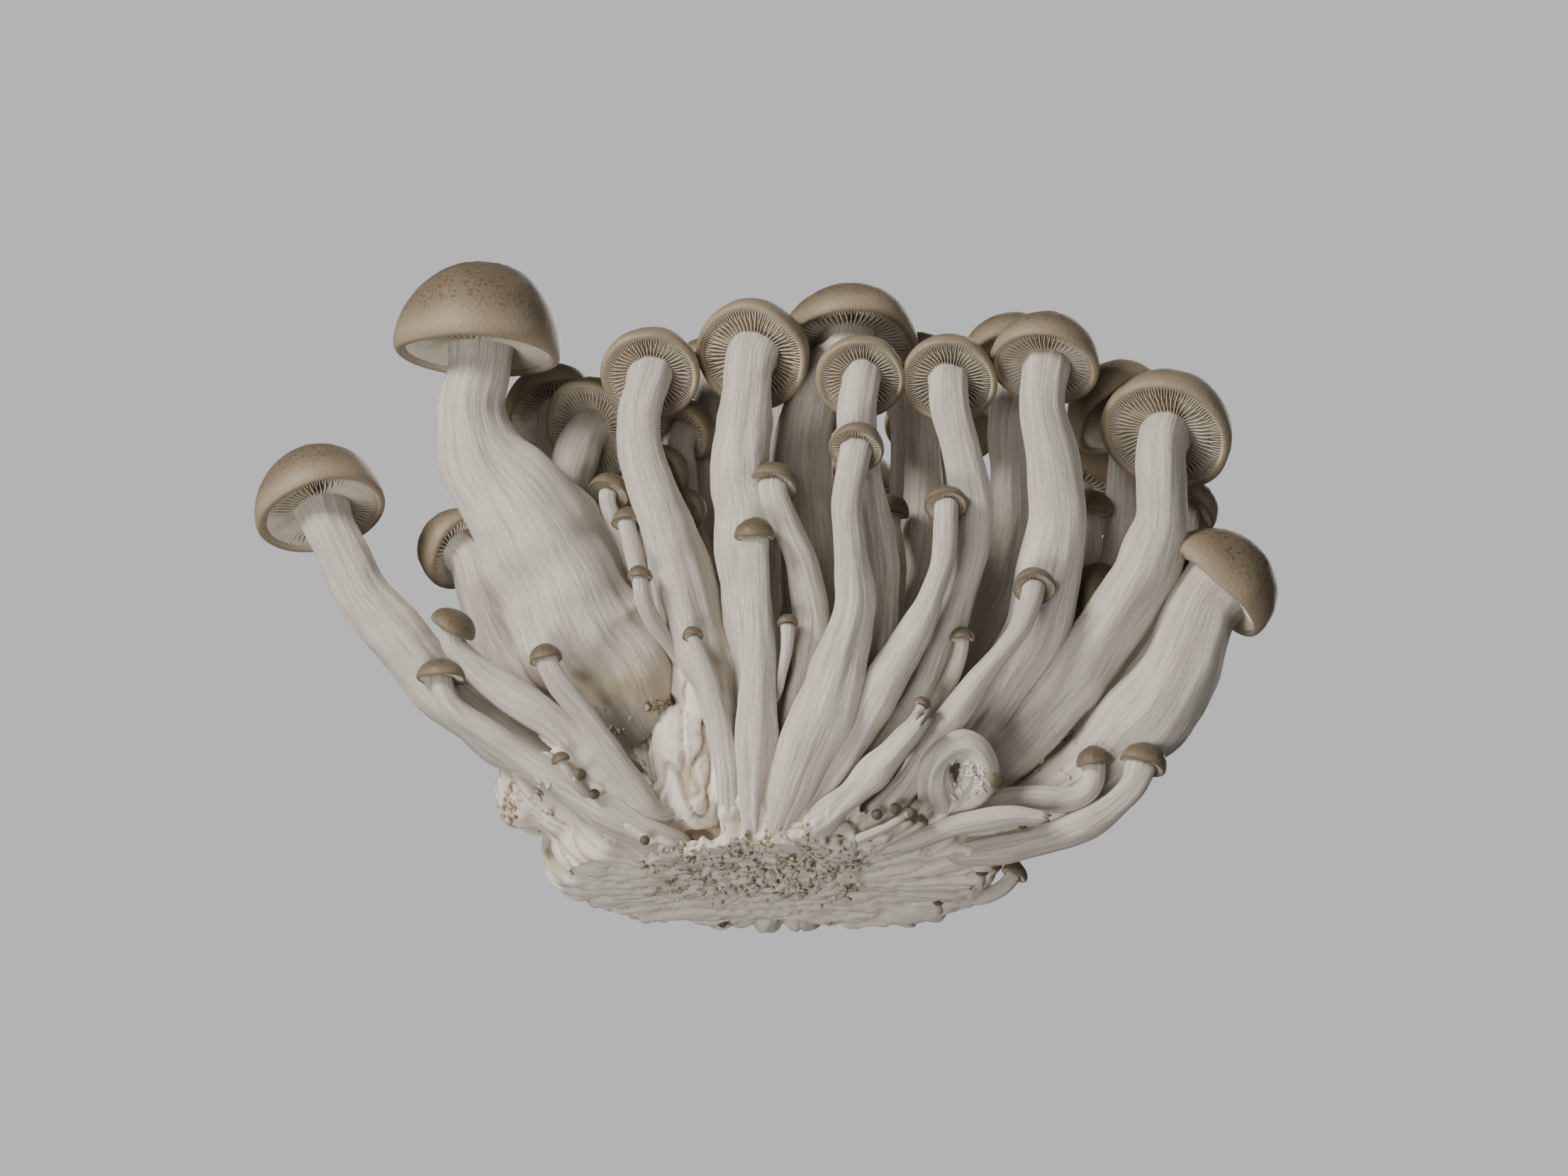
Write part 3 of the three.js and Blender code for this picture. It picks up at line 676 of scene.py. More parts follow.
# %% Lay the ribs
def tube(line, radii, sides=12):
    """A closed tube with pointed ends."""
    far = radii[:, None].copy()
    far[[0, -1]] = 0
    return roll("rib", line[:, None] + far[..., None] * ring_ways(line, turns_of(sides)))


CUT_WIDE, CUT_DEEP = 31, 16.5  # from the middle of the cut to its side and its front, in mm


def rib_over(angle, start, length, lean, step=1.5 * MM):
    """A line over the foot's skin, from near the cut's edge outwards and up."""
    out = np.array([math.cos(angle), math.sin(angle), 0])
    side = np.array([-out[1], out[0], 0])
    at = out * [CUT_WIDE * MM, CUT_DEEP * MM, 0] * start + [0, 0, 0.5 * MM]
    line = []
    for k in range(int(length / step)):
        near, facing, _, _ = foot_tree.find_nearest(Vector(at))
        at = np.array(near)
        line.append(at)
        facing = np.array(facing)
        ahead = out * 0.8 + np.array([0, 0, 0.7]) + side * lean
        ahead = unit(ahead - facing * (ahead @ facing))
        lean += 0.05 * math.sin(k * 0.7 + angle * 9)
        at = at + ahead * step
    return np.array(line)


rib_random = np.random.default_rng(407)
ribs = []
RIB_COUNT = 84
for k in range(RIB_COUNT):
    angle = k / RIB_COUNT * 2 * math.pi + rib_random.uniform(-0.05, 0.05)
    start = rib_random.uniform(0.8, 1.02)
    length = rib_random.uniform(16, 32) * MM
    line = rib_over(angle, start, length, rib_random.uniform(-0.35, 0.35))
    wide = rib_random.uniform(1.3, 2.7) * MM
    line[:, 2] = np.maximum(line[:, 2], 0.55 * wide)
    swell = np.sin(np.linspace(0.2, math.pi - 0.1, len(line))) ** 0.8
    ribs.append(tube(eased(line, 2), wide * swell))
print(len(ribs), "ribs")

# %% Sheath the roots
SHEATH_LENGTH = 15 * MM
for name in mushrooms:
    shape = shapes[name]
    line, radii = shape["line"], shape["radii"]
    run = run_of(line)
    keep = run > run[-1] - min(SHEATH_LENGTH, 0.4 * run[-1])
    line, radii = line[keep], radii[keep]
    if len(line) > 4:
        share = np.linspace(0, 1, len(line))
        ribs.append(tube(line, radii * (0.7 + 0.75 * share) + 0.4 * MM * share, 16))
print(len(ribs), "ribs and sheaths")

# %% Web the front stems together
WEB_LENGTH = 24 * MM
WEB_RINGS = 14
WEB_GAP = 9.5 * MM  # stems further apart than this stay separate
fronts = []
for name in mushrooms:
    shape = shapes[name]
    line = shape["line"][: shape["own"]]
    run = run_of(line)
    low_part = line[run > run[-1] - WEB_LENGTH]
    if len(low_part) > 8 and low_part[len(low_part) // 2][1] < -11 * MM and low_part[-1][2] < 26 * MM:
        at = np.linspace(0, len(low_part) - 1, WEB_RINGS)
        fronts.append(resampled(low_part, range(len(low_part)), at))
halfway = WEB_RINGS // 2
fronts.sort(key=lambda low_part: low_part[halfway][0])
web_count = 0
for a, b in zip(fronts, fronts[1:]):
    if np.linalg.norm(a[halfway] - b[halfway]) > WEB_GAP:
        continue
    for part in (0.35, 0.65):
        middle_line = a * (1 - part) + b * part + [0, 1.3 * MM, 0]
        ribs.append(tube(middle_line, np.linspace(0.35, 2.3, WEB_RINGS) * MM))
        web_count += 1
print(web_count, "webs")

# %% [markdown]
# Where a stem was hurt or squeezed, the flesh heals as a swollen lobe, called a callus. It fills the
# gaps low in the fan. Each lobe is one thick tube along a curve, and the melt joins it to the rest.

# %% Lay the callus and the low folds
# Each is where it starts and ends, [across, up, out] in mm over the fan, and its radii on the way.
SWELLINGS = [
    ((-14, 9, 6), (-17, 19, 6.5), (-18.5, 29, 3), (4.5, 6.0, 5.2, 3.0)),
    ((-10.5, 9, 5), (-12.5, 19, 6), (-14, 28, 4), (3.0, 3.8, 3.6, 2.0)),
    ((-15, 5, 4), (-28, 9, 5), (-42, 19, 3), (3.0, 4.2, 3.8, 2.0)),
    ((-14, 2, 4), (-27, 4, 4), (-38, 11, 1), (2.4, 4.0, 4.2, 2.2)),
    ((12, 8, 5), (22, 11, 5), (34, 17, 2), (2.4, 3.2, 3.0, 1.6)),
    ((12, 5, 4), (22, 6, 5), (33, 10, 3), (2.2, 3.0, 2.6, 1.4)),
]
SWELLING_RINGS = 24
for *ends, radii in SWELLINGS:
    ends = [([x, 0, 0] + fan_up * up + fan_out * out) * MM for x, up, out in ends]
    line = curve_through(*ends, SWELLING_RINGS)
    wide = np.interp(np.linspace(0, 1, SWELLING_RINGS), np.linspace(0, 1, 4), radii)
    wide = wide * (1 + 0.12 * ripple(line, 9 * MM, 60))
    line[:, 2] = np.maximum(line[:, 2], 0.8 * wide * MM)
    ribs.append(tube(line, wide * MM, 20))
print(len(SWELLINGS), "swellings")

# %% Melt them into one skin
VOXEL = 0.5 * MM
core = own_copy(nodes[FOOT])
select_only(core)
for key in list(core.keys()):
    del core[key]
edit_all()
bpy.ops.mesh.remove_doubles(threshold=SAME_SPOT)
bpy.ops.object.mode_set(mode="OBJECT")
foot = joined([core] + ribs, "foot_threads")
apply_modifier(foot, "REMESH", mode="VOXEL", voxel_size=VOXEL)
apply_modifier(foot, "SMOOTH", factor=0.5, iterations=3)
print(len(foot.data.polygons), "faces in the foot")


# %% Wrinkle it
def inside_box(spots, low, high, soft):
    """1 in a box, 0 outside it, with soft edges."""
    far = np.maximum(np.maximum(low - spots, spots - high), 0)
    return np.clip(1 - np.linalg.norm(far, axis=1) / soft, 0, 1)


spots, facing = corners_of(foot.data), corners_of(foot.data, "normal")
WRAP_RADIUS = 24 * MM  # creases that run up or outwards are patterns wrapped round at this radius
angle = np.arctan2(spots[:, 1] / CUT_DEEP, spots[:, 0] / CUT_WIDE)
wrap = np.c_[np.cos(angle), np.sin(angle)] * WRAP_RADIUS
around = np.c_[wrap, spots[:, 2] * 0.22]
side_crease = groove(ripple(around, 6.0 * MM, 71), 0.16) + 0.6 * groove(ripple(around, 3.4 * MM, 82), 0.2)
folds = ripple(around, 2.0 * MM, 83)
lumps = ripple(spots, 6 * MM, 72)
grit = ripple(spots, 1.1 * MM, 73)
under = np.clip((1.0 * MM - spots[:, 2]) / (0.5 * MM), 0, 1) * np.clip(-facing[:, 2] * 2, 0, 1)
# The growing medium tore away from the front of the cut, and the rest is smooth, folded and layered.
torn_low, torn_high = np.array([-19, -22, -1]) * MM, np.array([9, 1.5, 2.5]) * MM
wavy = spots + np.c_[ripple(spots, 8 * MM, 77), ripple(spots, 8 * MM, 78), np.zeros(len(spots))] * 2.6 * MM
torn = inside_box(wavy, torn_low, torn_high, 4 * MM)
flat_waves = spots * [0.17, 1, 1]  # long across, so its creases run from side to side
flat_waves[:, 1] += ripple(spots, 16 * MM, 84) * 1.2 * MM
under_crease = groove(ripple(flat_waves, 4.6 * MM, 80), 0.22)
under_crease += 0.5 * groove(ripple(flat_waves, 2.2 * MM, 81), 0.25)
callus = inside_box(spots, np.array([-23, -30, 6]) * MM, np.array([-9, -12, 32]) * MM, 2 * MM)
callus_crease = groove(ripple(spots * [1, 1, 0.07], 4.2 * MM, 85), 0.2)
fine_wrinkles = groove(ripple(spots * [1, 1, 0.3], 2.2 * MM, 88), 0.2)
raised = 0.12 * folds + 0.2 * lumps + 0.02 * grit - 0.6 * side_crease * (1 - callus)
raised -= callus * (0.9 * callus_crease + 0.3 * fine_wrinkles)
spots = spots + facing * (raised * MM * (1 - under))[:, None]
clefts = groove(ripple(spots, 5.2 * MM, 74), 0.25)
crumbly = 1.3 * clefts + 0.45 * np.abs(ripple(spots * [0.6, 1, 1], 2.0 * MM, 79))
spokes = np.c_[wrap, 0.25 * np.hypot(spots[:, 0], spots[:, 1])]
spoke_crease = groove(ripple(spokes, 5.0 * MM, 89), 0.2)
outer = np.clip((np.abs(spots[:, 0] + 4 * MM) - 17 * MM) / (6 * MM), 0, 1)
under_crease = under_crease * (1 - outer) + spoke_crease * outer
layers = 1.5 * under_crease + 0.5 * (1 + ripple(flat_waves, 9 * MM, 86))
layers += 0.07 * (1 + ripple(flat_waves, 0.9 * MM, 87))
spots[:, 2] += under * (torn * crumbly + (1 - torn) * np.clip(layers, 0, 3)) * MM
spots[:, 2] = np.maximum(spots[:, 2], 0)
move_corners(foot.data, spots)
dirt = np.clip(ripple(spots, 6 * MM, 75) * 0.6 + ripple(spots, 1.9 * MM, 76) * 0.7, 0, 1)
old_lobe = np.clip((foot_left + 7 * MM - spots[:, 0]) / (5 * MM), 0, 1)
# The crease mark carries painted shade: the finish darkens the creases of the sides and the callus, and the
# folds and clefts underneath.
creases = (side_crease * (1 - callus) + callus * callus_crease) * (1 - under)
creases += under * (0.7 * (1 - torn) * under_crease + 0.5 * torn * clefts)
cut_dirt = torn * (0.12 + 1.2 * dirt) * np.clip(1.5 - spots[:, 2] / (5 * MM), 0, 1)
add_attribute(foot.data, "crease", np.clip(creases, 0, 1))
add_attribute(foot.data, "stain", np.clip(cut_dirt + old_lobe * (0.2 + dirt) + 0.06 * dirt, 0, 1))
select_only(foot)
bpy.ops.object.shade_smooth()
finish_piece(foot, "foot_threads", FOOT)
print("the foot is wrinkled")

# %% [markdown]
# ## Pinheads and crumbs
# Round the foot stand pinheads, which are mushrooms that stopped as buds, and crumbs of the growing
# medium stick to the cut. Both are set by casting a ray at the foot and the stems, so they always touch
# one. A pinhead is the same cap on a plainer rolled stem, only tiny.

# %% Set the pinheads
flesh = [piece for piece in finished if piece.name.endswith("_stem")] + [foot]


def tree_of(pieces):
    """One search tree over the skins of several pieces."""
    spots, faces, start = [], [], 0
    for piece in pieces:
        spots.append(corners_of(piece.data))
        faces += [[start + k for k in face.vertices] for face in piece.data.polygons]
        start += len(piece.data.vertices)
    return BVHTree.FromPolygons([tuple(spot) for spot in np.concatenate(spots)], faces)


grown_tree = tree_of(flesh)
# Each is its place across and up the fan, its cap's radius and how far it stands out, in mm.
PINHEADS = [(14.2, 12.2, 0.9, 1.6), (16.6, 13.6, 1.0, 1.8), (19.1, 12.5, 0.9, 2.2), (21.3, 11.2, 0.75, 2.0)]
PINHEADS += [(-33.4, 18.3, 1.1, 1.4), (-30.6, 15.2, 0.9, 1.2), (-22.4, 8.1, 0.8, 2.4)]
PINHEADS += [(32.6, 17.6, 1.5, 1.2), (32.6, 3.8, 1.1, 2.4), (30.9, 0.9, 1.0, 2.2), (24.5, -3.6, 0.9, 2.6)]
PINHEADS += [(-9.5, -5.8, 0.9, 1.6), (37.5, 10.5, 0.9, 1.4)]


def touched(tree, across, up):
    """The spot and facing of a skin, seen along the fan, or None twice where there is none."""
    start = np.array([across, 0, 0]) * MM + fan_up * up * MM + fan_out * 0.2
    place, facing, _, _ = tree.ray_cast(Vector(start), Vector(-fan_out))
    return (None, None) if place is None else (np.array(place), np.array(facing))


PINHEAD_RINGS, PINHEAD_SIDES = 9, 14
cap_model = turned_cap("pinhead_cap_model", 24, 1)
set_count = 0
for number, (across, up, radius, length) in enumerate(PINHEADS):
    place, facing = touched(grown_tree, across, up)
    if place is None:
        continue
    tip = place + unit(facing + 0.5 * fan_up + 0.5 * fan_out) * length * MM
    tip[2] = max(tip[2], 1.1 * radius * MM)  # its cap stays above the cut
    way = unit(tip - place)
    line = place + way * np.linspace(-1.0, length, PINHEAD_RINGS)[:, None] * MM
    radii = np.linspace(0.62, 0.5, PINHEAD_RINGS) * radius * MM
    round_it = ring_ways(line, turns_of(PINHEAD_SIDES))
    far = radii[:, None] * (1 + 0.1 * ripple(line[:, None] + round_it * MM, 1.5 * MM, number))
    far[[0, -1]] = 0
    places = line[:, None] + far[..., None] * round_it
    along = np.broadcast_to(np.linspace(0, 1, PINHEAD_RINGS)[:, None], far.shape)
    stem = roll(f"pinhead_{number}_stem", places, grain=places / MM, tone=1 - along, stain=0 * along)
    finish_piece(stem, "stem_flesh")
    rim = line[-1]
    wide, dome = radius * MM, 0.75 * radius * MM
    cap = grown_cap(f"pinhead_{number}_cap", rim, way, wide, dome, 40 + number, cap_model)
    finish_piece(cap, "cap_skin")
    set_count += 1
bpy.data.objects.remove(cap_model)
print(set_count, "pinheads")

# %% [markdown]
# The curl is a stem that rolled up on itself and split, so its middle is a knot of torn flakes. It is a
# ball whose corners are pushed in and out along a spiral, with the finish of the stems.

# %% Fill the curl with its torn knot
curl_line = shapes["curl"]["line"][: shapes["curl"]["own"]]
curl_radius = shapes["curl"]["radii"][:10].mean() * CURL_GROWTH
loop = curl_line[: len(curl_line) // 2]
loop_middle = loop.mean(0)
knot_radius = np.linalg.norm(loop - loop_middle, axis=1).mean() - 0.35 * curl_radius
clear_selection()
bpy.ops.mesh.primitive_ico_sphere_add(subdivisions=6, radius=1)
knot = bpy.context.object
knot.name = knot.data.name = "curl_knot"
spots = corners_of(knot.data)
swirl = np.arctan2(spots[:, 2], spots[:, 0]) + 5 * np.hypot(spots[:, 0], spots[:, 2])
flakes = 0.12 * np.sin(3 * swirl) + 0.1 * ripple(spots, 0.55, 61)
flakes -= 0.16 * groove(ripple(spots, 0.7, 62), 0.25)
spots = loop_middle + spots * (1 + flakes)[:, None] * knot_radius * [1, 0.9, 1]
move_corners(knot.data, spots)
add_attribute(knot.data, "grain", spots / MM)
add_attribute(knot.data, "tone", np.full(len(spots), 0.5))
# On the knot this mark is painted shade, darkest where the flakes dip in.
add_attribute(knot.data, "stain", np.clip(-3 * flakes, 0, 0.5))
bpy.ops.object.shade_smooth()
finish_piece(knot, "stem_flesh")
print("the knot is", round(2 * knot_radius / MM, 1), "mm across")

# %% Scatter the crumbs
crumb_random = np.random.default_rng(9)
big_tree = tree_of([bpy.data.objects["big_left_stem"]])
curl_tree = tree_of([bpy.data.objects["curl_stem"]])
# Each patch is a skin, its range across and up the fan in mm, its number of crumbs and how brown they are.
CRUMB_PATCHES = [(grown_tree, (-19, 10), (-3, 8), 120, 0.5), (grown_tree, (-8, 6), (0, 6), 90, 0.8)]
CRUMB_PATCHES += [(grown_tree, (-44, -37), (9, 18), 14, 0.5), (big_tree, (-32, -19), (20, 30), 22, 0.8)]
CRUMB_PATCHES += [(big_tree, (-22.4, -18.8), (28.6, 30.2), 34, 1.6)]
CRUMB_PATCHES += [(grown_tree, (38, 47), (16, 26), 10, 0.9), (curl_tree, (25.5, 31), (15, 21), 46, 0.0)]
CRUMB_SIZES = (0.25, 0.85)  # half across, in mm
crumb_parts = []
clear_selection()
bpy.ops.mesh.primitive_ico_sphere_add(subdivisions=2, radius=1)
crumb_model = bpy.context.object
for tree, across_range, up_range, count, brown in CRUMB_PATCHES:
    for k in range(count):
        place, facing = touched(tree, crumb_random.uniform(*across_range), crumb_random.uniform(*up_range))
        if place is None:
            continue
        crumb = own_copy(crumb_model)
        spots = corners_of(crumb.data)
        spots *= (1 + 0.4 * ripple(spots, 1.3, 500 + k))[:, None]
        size = crumb_random.uniform(*CRUMB_SIZES) * MM
        shares = [1, crumb_random.uniform(0.3, 0.8), crumb_random.uniform(0.15, 0.5)]
        move_corners(crumb.data, spots * size * shares)
        tip = unit(facing + crumb_random.normal(size=3) * 0.35)
        crumb.data.transform(placing(place, tip) @ Matrix.Rotation(k, 4, "Z"))
        add_attribute(crumb.data, "stain", np.full(len(spots), brown * crumb_random.uniform(0.2, 1.2)))
        crumb_parts.append(crumb)
bpy.data.objects.remove(crumb_model)
crumbs = joined(crumb_parts, "medium_crumbs")
bpy.ops.object.shade_smooth()
finish_piece(crumbs, "foot_threads")
print(len(crumb_parts), "crumbs")

# %% [markdown]
# ## Finishes
# Four finishes share two effects. Fibres are noise that is stretched along the stem, using the grain that
# was stored when the sheet was rolled. Mottle is soft blotches with fine speckle, the same in every
# direction. Each is a node group with its own sizes, and each finish mixes its own colours from them.


# %% Helpers for node groups
def group_with(name, inputs, outputs):
    made = bpy.data.node_groups.new(name, "ShaderNodeTree")
    for title, kind, value in inputs:
        socket = made.interface.new_socket(title, in_out="INPUT", socket_type=kind)
        if value is not None:
            socket.default_value = value
    for title in outputs:
        made.interface.new_socket(title, in_out="OUTPUT", socket_type="NodeSocketFloat")
    return made, made.nodes.new("NodeGroupInput"), made.nodes.new("NodeGroupOutput")


def put(tree, socket, value):
    """Links a socket to another's output, or sets its value."""
    if isinstance(value, bpy.types.NodeSocket):
        tree.links.new(value, socket)
    elif isinstance(value, tuple) and len(value) == 3 and socket.type == "RGBA":
        socket.default_value = (*value, 1)
    else:
        socket.default_value = value


def add(tree, kind, sockets=None, **settings):
    node = tree.nodes.new(kind)
    for key, value in settings.items():
        setattr(node, key, value)
    for key, value in (sockets or {}).items():
        put(tree, node.inputs[key], value)
    return node


def noise(tree, vector, scale, detail=4.0, rough=0.6):
    sockets = {"Vector": vector, "Scale": scale, "Detail": detail, "Roughness": rough}
    return add(tree, "ShaderNodeTexNoise", sockets).outputs["Fac"]


def band(tree, value, low, high):
    """The value as a mask: 0 at low, 1 at high."""
    sockets = {"Value": value, "From Min": low, "From Max": high}
    return add(tree, "ShaderNodeMapRange", sockets, clamp=True).outputs["Result"]


def math_of(tree, operation, a, b):
    return add(tree, "ShaderNodeMath", {0: a, 1: b}, operation=operation).outputs[0]


# %% Fibres
NUMBER, VECTOR = "NodeSocketFloat", "NodeSocketVector"
fibres, given, out = group_with(
    "fibres",
    [("Vector", VECTOR, None), ("Across", NUMBER, 2.0), ("Along", NUMBER, 0.1)],
    ["Threads", "Streaks", "Powder"],
)
place, across, along = [given.outputs[title] for title in ("Vector", "Across", "Along")]
squeeze = add(fibres, "ShaderNodeCombineXYZ", {0: across, 1: across, 2: along}).outputs[0]
drawn = add(fibres, "ShaderNodeVectorMath", {0: place, 1: squeeze}, operation="MULTIPLY").outputs[0]
put(fibres, out.inputs["Threads"], noise(fibres, drawn, 1.6, 6, 0.7))
put(fibres, out.inputs["Streaks"], band(fibres, noise(fibres, drawn, 0.4, 3, 0.55), 0.48, 0.7))
put(fibres, out.inputs["Powder"], noise(fibres, place, 2.6, 3, 0.7))

# %% Mottle
mottle, given, out = group_with(
    "mottle",
    [("Vector", VECTOR, None), ("Blotch", NUMBER, 150.0), ("Speckle", NUMBER, 1500.0)],
    ["Blotches", "Speckles"],
)
place, blotch, speckle = [given.outputs[title] for title in ("Vector", "Blotch", "Speckle")]
put(mottle, out.inputs["Blotches"], band(mottle, noise(mottle, place, blotch, 4, 0.55), 0.35, 0.68))
put(mottle, out.inputs["Speckles"], noise(mottle, place, speckle, 3, 0.6))
print("two shared effects")


# %% Helpers for finishes
def set_sockets(node, values):
    for title, value in values.items():
        node.inputs[title].default_value = value


def finish_named(name, roughness, sheen, below):
    made = bpy.data.materials.new(name)
    made.use_nodes = True
    shader = made.node_tree.nodes["Principled BSDF"]
    set_sockets(shader, {"Roughness": roughness, "Sheen Weight": sheen, "Specular IOR Level": 0.35})
    set_sockets(shader, {"Subsurface Weight": below, "Subsurface Scale": 1.5 * MM})
    set_sockets(shader, {"Subsurface Radius": (1.0, 0.6, 0.35)})  # red light goes deepest
    return made, made.node_tree, shader


def mix(tree, share, a, b):
    return add(tree, "ShaderNodeMix", {0: share, 6: a, 7: b}, data_type="RGBA").outputs[2]


def mark(tree, name, output="Fac"):
    return add(tree, "ShaderNodeAttribute", attribute_name=name).outputs[output]


def share_of(tree, value, share):
    return math_of(tree, "MULTIPLY", value, share)


def tinted(tree, tone, where, share, colour):
    """A tone with a share of a colour over it, where a mask says."""
    return mix(tree, share_of(tree, where, share), tone, colour)


def effect_outputs(tree, group, **values):
    node = add(tree, "ShaderNodeGroup", node_tree=group)
    for key, value in values.items():
        put(tree, node.inputs[key], value)
    return node.outputs


def bump(tree, shader, height, strength, distance):
    node = add(tree, "ShaderNodeBump", {"Strength": strength, "Distance": distance, "Height": height})
    put(tree, shader.inputs["Normal"], node.outputs[0])


def place_on(tree):
    return add(tree, "ShaderNodeTexCoord").outputs["Object"]


# %% Stem flesh
stem_flesh, tree, shader = finish_named("stem_flesh", 0.6, sheen=0.1, below=0.12)
threads = effect_outputs(tree, fibres, Vector=mark(tree, "grain", "Vector"), Across=1.15, Along=0.07)
spread = effect_outputs(tree, mottle, Vector=place_on(tree), Blotch=110.0, Speckle=1600.0)
CREAM, STREAK, DULL = (0.80, 0.755, 0.685), (0.56, 0.50, 0.42), (0.64, 0.575, 0.485)
# The second of these lines holds painted shade for the dips between threads and a painted highlight for the
# thread tops.
THREAD_DIP_SHADE, THREAD_TOP_HIGHLIGHT = (0.55, 0.49, 0.41), (0.90, 0.865, 0.81)
ROOT_TAN, BRUISE_AND_SHADE_TAN = (0.64, 0.56, 0.45), (0.46, 0.36, 0.21)
# The thread noise is also the bump: its dips get painted shade and its tops a painted highlight.
dip_shade = band(tree, threads["Threads"], 0.55, 0.36)
top_highlight = band(tree, threads["Threads"], 0.56, 0.68)
tone = tinted(tree, CREAM, threads["Streaks"], 0.6, STREAK)
tone = tinted(tree, tone, spread["Blotches"], 0.22, DULL)
tone = tinted(tree, tone, dip_shade, 0.8, THREAD_DIP_SHADE)
tone = tinted(tree, tone, top_highlight, 0.7, THREAD_TOP_HIGHLIGHT)
tone = tinted(tree, tone, band(tree, mark(tree, "tone"), 0.6, 1.0), 0.25, ROOT_TAN)
# The stain mark is a real bruise on the big left stem, and painted shade in the gaps of the curl's knot.
stained = share_of(tree, mark(tree, "stain"), band(tree, spread["Blotches"], -0.4, 0.8))
tone = tinted(tree, tone, stained, 0.9, BRUISE_AND_SHADE_TAN)
put(tree, shader.inputs["Base Color"], tone)
height = math_of(tree, "ADD", threads["Threads"], share_of(tree, threads["Powder"], 0.3))
bump(tree, shader, height, 1.0, 0.6 * MM)

# %% Cap skin
cap_skin, tree, shader = finish_named("cap_skin", 0.5, sheen=0.08, below=0.05)
spread = effect_outputs(tree, mottle, Vector=place_on(tree), Blotch=240.0, Speckle=1500.0)
up = mark(tree, "tone")
RIM_BROWN, DOME_BROWN, CROWN_BROWN = (0.32, 0.26, 0.175), (0.195, 0.152, 0.096), (0.128, 0.098, 0.061)
BLOTCH_BROWN, SPECK_BROWN = (0.26, 0.2, 0.128), (0.085, 0.062, 0.038)
YOUNG_BROWN, LIP_CREAM = (0.095, 0.069, 0.042), (0.56, 0.48, 0.365)
tone = mix(tree, band(tree, up, 0.0, 0.3), RIM_BROWN, DOME_BROWN)
tone = mix(tree, band(tree, up, 0.3, 0.9), tone, CROWN_BROWN)
tone = tinted(tree, tone, spread["Blotches"], 0.3, BLOTCH_BROWN)
pebbled = share_of(tree, band(tree, spread["Speckles"], 0.54, 0.66), band(tree, up, 0.0, 0.4))
tone = mix(tree, pebbled, tone, SPECK_BROWN)
tone = tinted(tree, tone, mark(tree, "young"), 0.6, YOUNG_BROWN)
tone = mix(tree, mark(tree, "lip"), tone, LIP_CREAM)
put(tree, shader.inputs["Base Color"], tone)
bump(tree, shader, spread["Speckles"], 0.5, 0.3 * MM)

# %% Gill flesh
gill_flesh, tree, shader = finish_named("gill_flesh", 0.6, sheen=0.05, below=0.15)
spread = effect_outputs(tree, mottle, Vector=place_on(tree), Blotch=200.0, Speckle=2200.0)
GILL_EDGE_CREAM, GILL_ROOF_SHADE, GILL_DULL = (0.80, 0.73, 0.62), (0.47, 0.385, 0.275), (0.60, 0.51, 0.40)
# Painted shade: the gills darken from the lower edge up to the roof, deep between the blades.
tone = mix(tree, band(tree, mark(tree, "tone"), 0.1, 0.85), GILL_EDGE_CREAM, GILL_ROOF_SHADE)
tone = tinted(tree, tone, spread["Blotches"], 0.2, GILL_DULL)
put(tree, shader.inputs["Base Color"], tone)
bump(tree, shader, spread["Speckles"], 0.25, 0.08 * MM)

# %% Foot threads
foot_threads, tree, shader = finish_named("foot_threads", 0.8, sheen=0.1, below=0.1)
spread = effect_outputs(tree, mottle, Vector=place_on(tree), Blotch=220.0, Speckle=1300.0)
FOOT_CREAM, FOOT_DULL, CREASE_SHADE = (0.80, 0.75, 0.67), (0.66, 0.59, 0.49), (0.47, 0.38, 0.27)
MEDIUM_TAN, MEDIUM_BROWN = (0.43, 0.335, 0.215), (0.15, 0.095, 0.05)
tone = tinted(tree, FOOT_CREAM, spread["Blotches"], 0.3, FOOT_DULL)
# Painted shade in the creases and clefts.
tone = tinted(tree, tone, band(tree, mark(tree, "crease"), 0.1, 0.8), 0.8, CREASE_SHADE)
# On the foot and the crumbs, the stain mark is only the brown of the growing medium.
tone = tinted(tree, tone, mark(tree, "stain"), 0.7, MEDIUM_TAN)
dirty = band(tree, mark(tree, "stain"), 0.2, 0.6)
bits = math_of(tree, "MULTIPLY", band(tree, spread["Speckles"], 0.5, 0.56), dirty)
tone = tinted(tree, tone, bits, 0.85, MEDIUM_BROWN)
put(tree, shader.inputs["Base Color"], tone)
bump(tree, shader, spread["Speckles"], 0.35, 0.25 * MM)

# %% Put each finish on its pieces
finishes = {"stem_flesh": stem_flesh, "cap_skin": cap_skin}
finishes |= {"gill_flesh": gill_flesh, "foot_threads": foot_threads}
for piece in finished:
    piece.data.materials.clear()
    piece.data.materials.append(finishes[piece["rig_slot"]])
print(len(finished), "pieces finished")

# %% [markdown]
# ## The studio
# The clump stands on a pale floor. It is seen from in front and below, where its gills and the cut show,
# so the floor must not hide it: its shader lets through whatever comes from its underside.

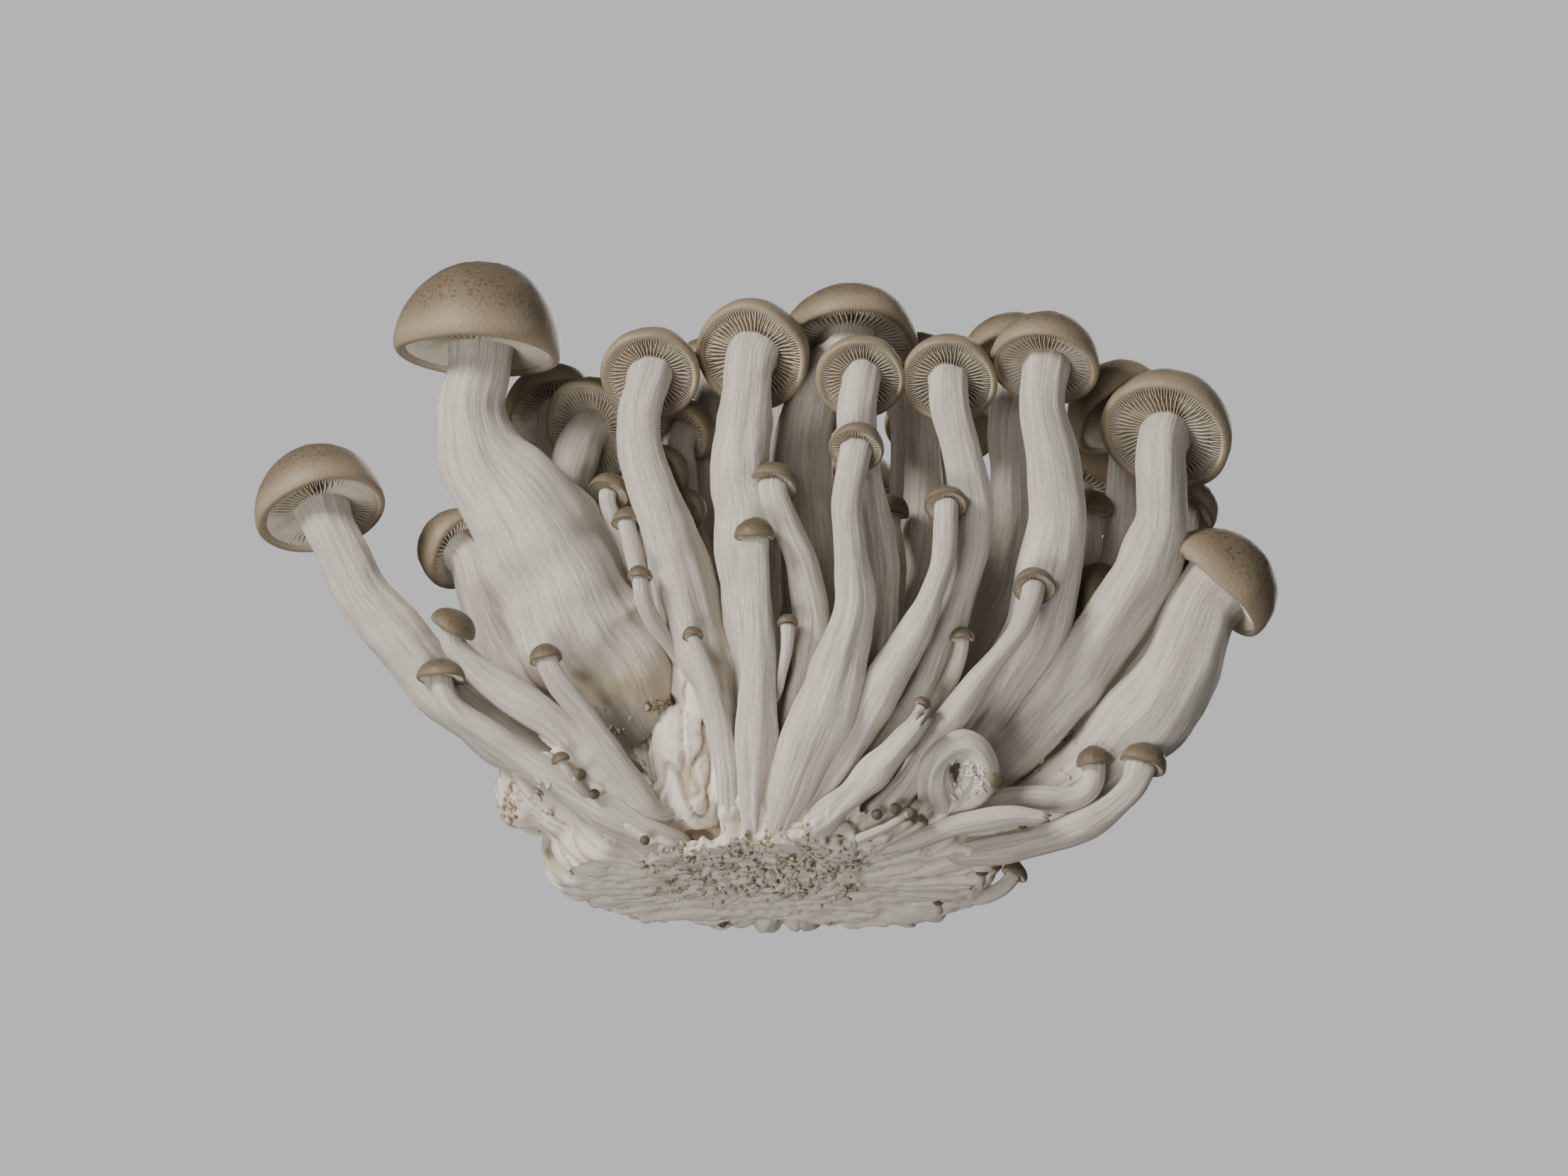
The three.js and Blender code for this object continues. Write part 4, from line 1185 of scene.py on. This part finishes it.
# %% Floor
clear_selection()
FLOOR_DROP = 0.4 * MM  # the floor lies this far under the cut
bpy.ops.mesh.primitive_plane_add(size=6, location=(0, 0, -FLOOR_DROP))
floor = bpy.context.object
floor.name = "floor"
for rays in ("shadow", "diffuse", "glossy", "transmission"):
    setattr(floor, "visible_" + rays, False)
pale = bpy.data.materials.new("pale_floor")
pale.use_nodes = True
tree = pale.node_tree
shader = tree.nodes["Principled BSDF"]
set_sockets(shader, {"Base Color": (0.42, 0.415, 0.405, 1), "Roughness": 0.9})
set_sockets(shader, {"Emission Color": (0.62, 0.61, 0.6, 1), "Emission Strength": 0.6})
behind = add(tree, "ShaderNodeNewGeometry").outputs["Backfacing"]
see_through = add(tree, "ShaderNodeBsdfTransparent").outputs[0]
shown = add(tree, "ShaderNodeMixShader", {0: behind, 1: shader.outputs[0], 2: see_through})
put(tree, tree.nodes["Material Output"].inputs["Surface"], shown.outputs[0])
floor.data.materials.append(pale)

# %% Light
world = bpy.data.worlds.new("studio")
bpy.context.scene.world = world
world.use_nodes = True
tree = world.node_tree
dim = tree.nodes["Background"]
set_sockets(dim, {"Color": (1.0, 0.97, 0.93, 1), "Strength": 0.08})
backdrop = add(tree, "ShaderNodeBackground", {"Color": (0.62, 0.62, 0.63), "Strength": 1.0})
seen = add(tree, "ShaderNodeLightPath").outputs["Is Camera Ray"]
chosen = add(tree, "ShaderNodeMixShader", {0: seen, 1: dim.outputs[0], 2: backdrop.outputs[0]})
put(tree, tree.nodes["World Output"].inputs["Surface"], chosen.outputs[0])


def soft_light(name, place, aim, size, power, colour):
    lamp = bpy.data.lights.new(name, "AREA")
    lamp.shape = "DISK"
    lamp.size = size
    lamp.energy = power
    lamp.color = colour
    made = bpy.data.objects.new(name, lamp)
    bpy.context.scene.collection.objects.link(made)
    made.location = place
    made.rotation_mode = "QUATERNION"
    made.rotation_quaternion = (Vector(aim) - Vector(place)).to_track_quat("-Z", "Y")


middle = Vector((0, -20 * MM, 45 * MM))
soft_light("key", (-0.55, -0.6, 0.33), middle, 0.24, 7.6, (1.0, 0.965, 0.91))
soft_light("low_fill", (-0.34, -0.38, -0.5), middle, 0.35, 2.9, (1.0, 0.965, 0.92))
soft_light("front_fill", (-0.25, -0.75, -0.12), middle, 0.3, 0.6, (1.0, 0.98, 0.95))
soft_light("side_fill", (0.65, -0.45, 0.1), middle, 0.6, 0.9, (0.97, 0.98, 1.0))
soft_light("rear", (0.25, 0.7, 0.5), middle, 0.5, 4.5, (1.0, 0.98, 0.95))

# %% Camera
VIEW_HEIGHT = math.radians(-25)
FRAME_WIDTH = 0.25
aim = Vector((-0.5, -27.0, 40.8)) * MM
lens_data = bpy.data.cameras.new("camera")
lens_data.lens = 200
lens_data.sensor_width = 36
camera = bpy.data.objects.new("camera", lens_data)
bpy.context.scene.collection.objects.link(camera)
back_off = Vector((0, -math.cos(VIEW_HEIGHT), math.sin(VIEW_HEIGHT)))
camera.location = aim + back_off * (FRAME_WIDTH * lens_data.lens / lens_data.sensor_width)
camera.rotation_mode = "QUATERNION"
camera.rotation_quaternion = (-back_off).to_track_quat("-Z", "Y")
bpy.context.scene.camera = camera
print("camera", camera.location)
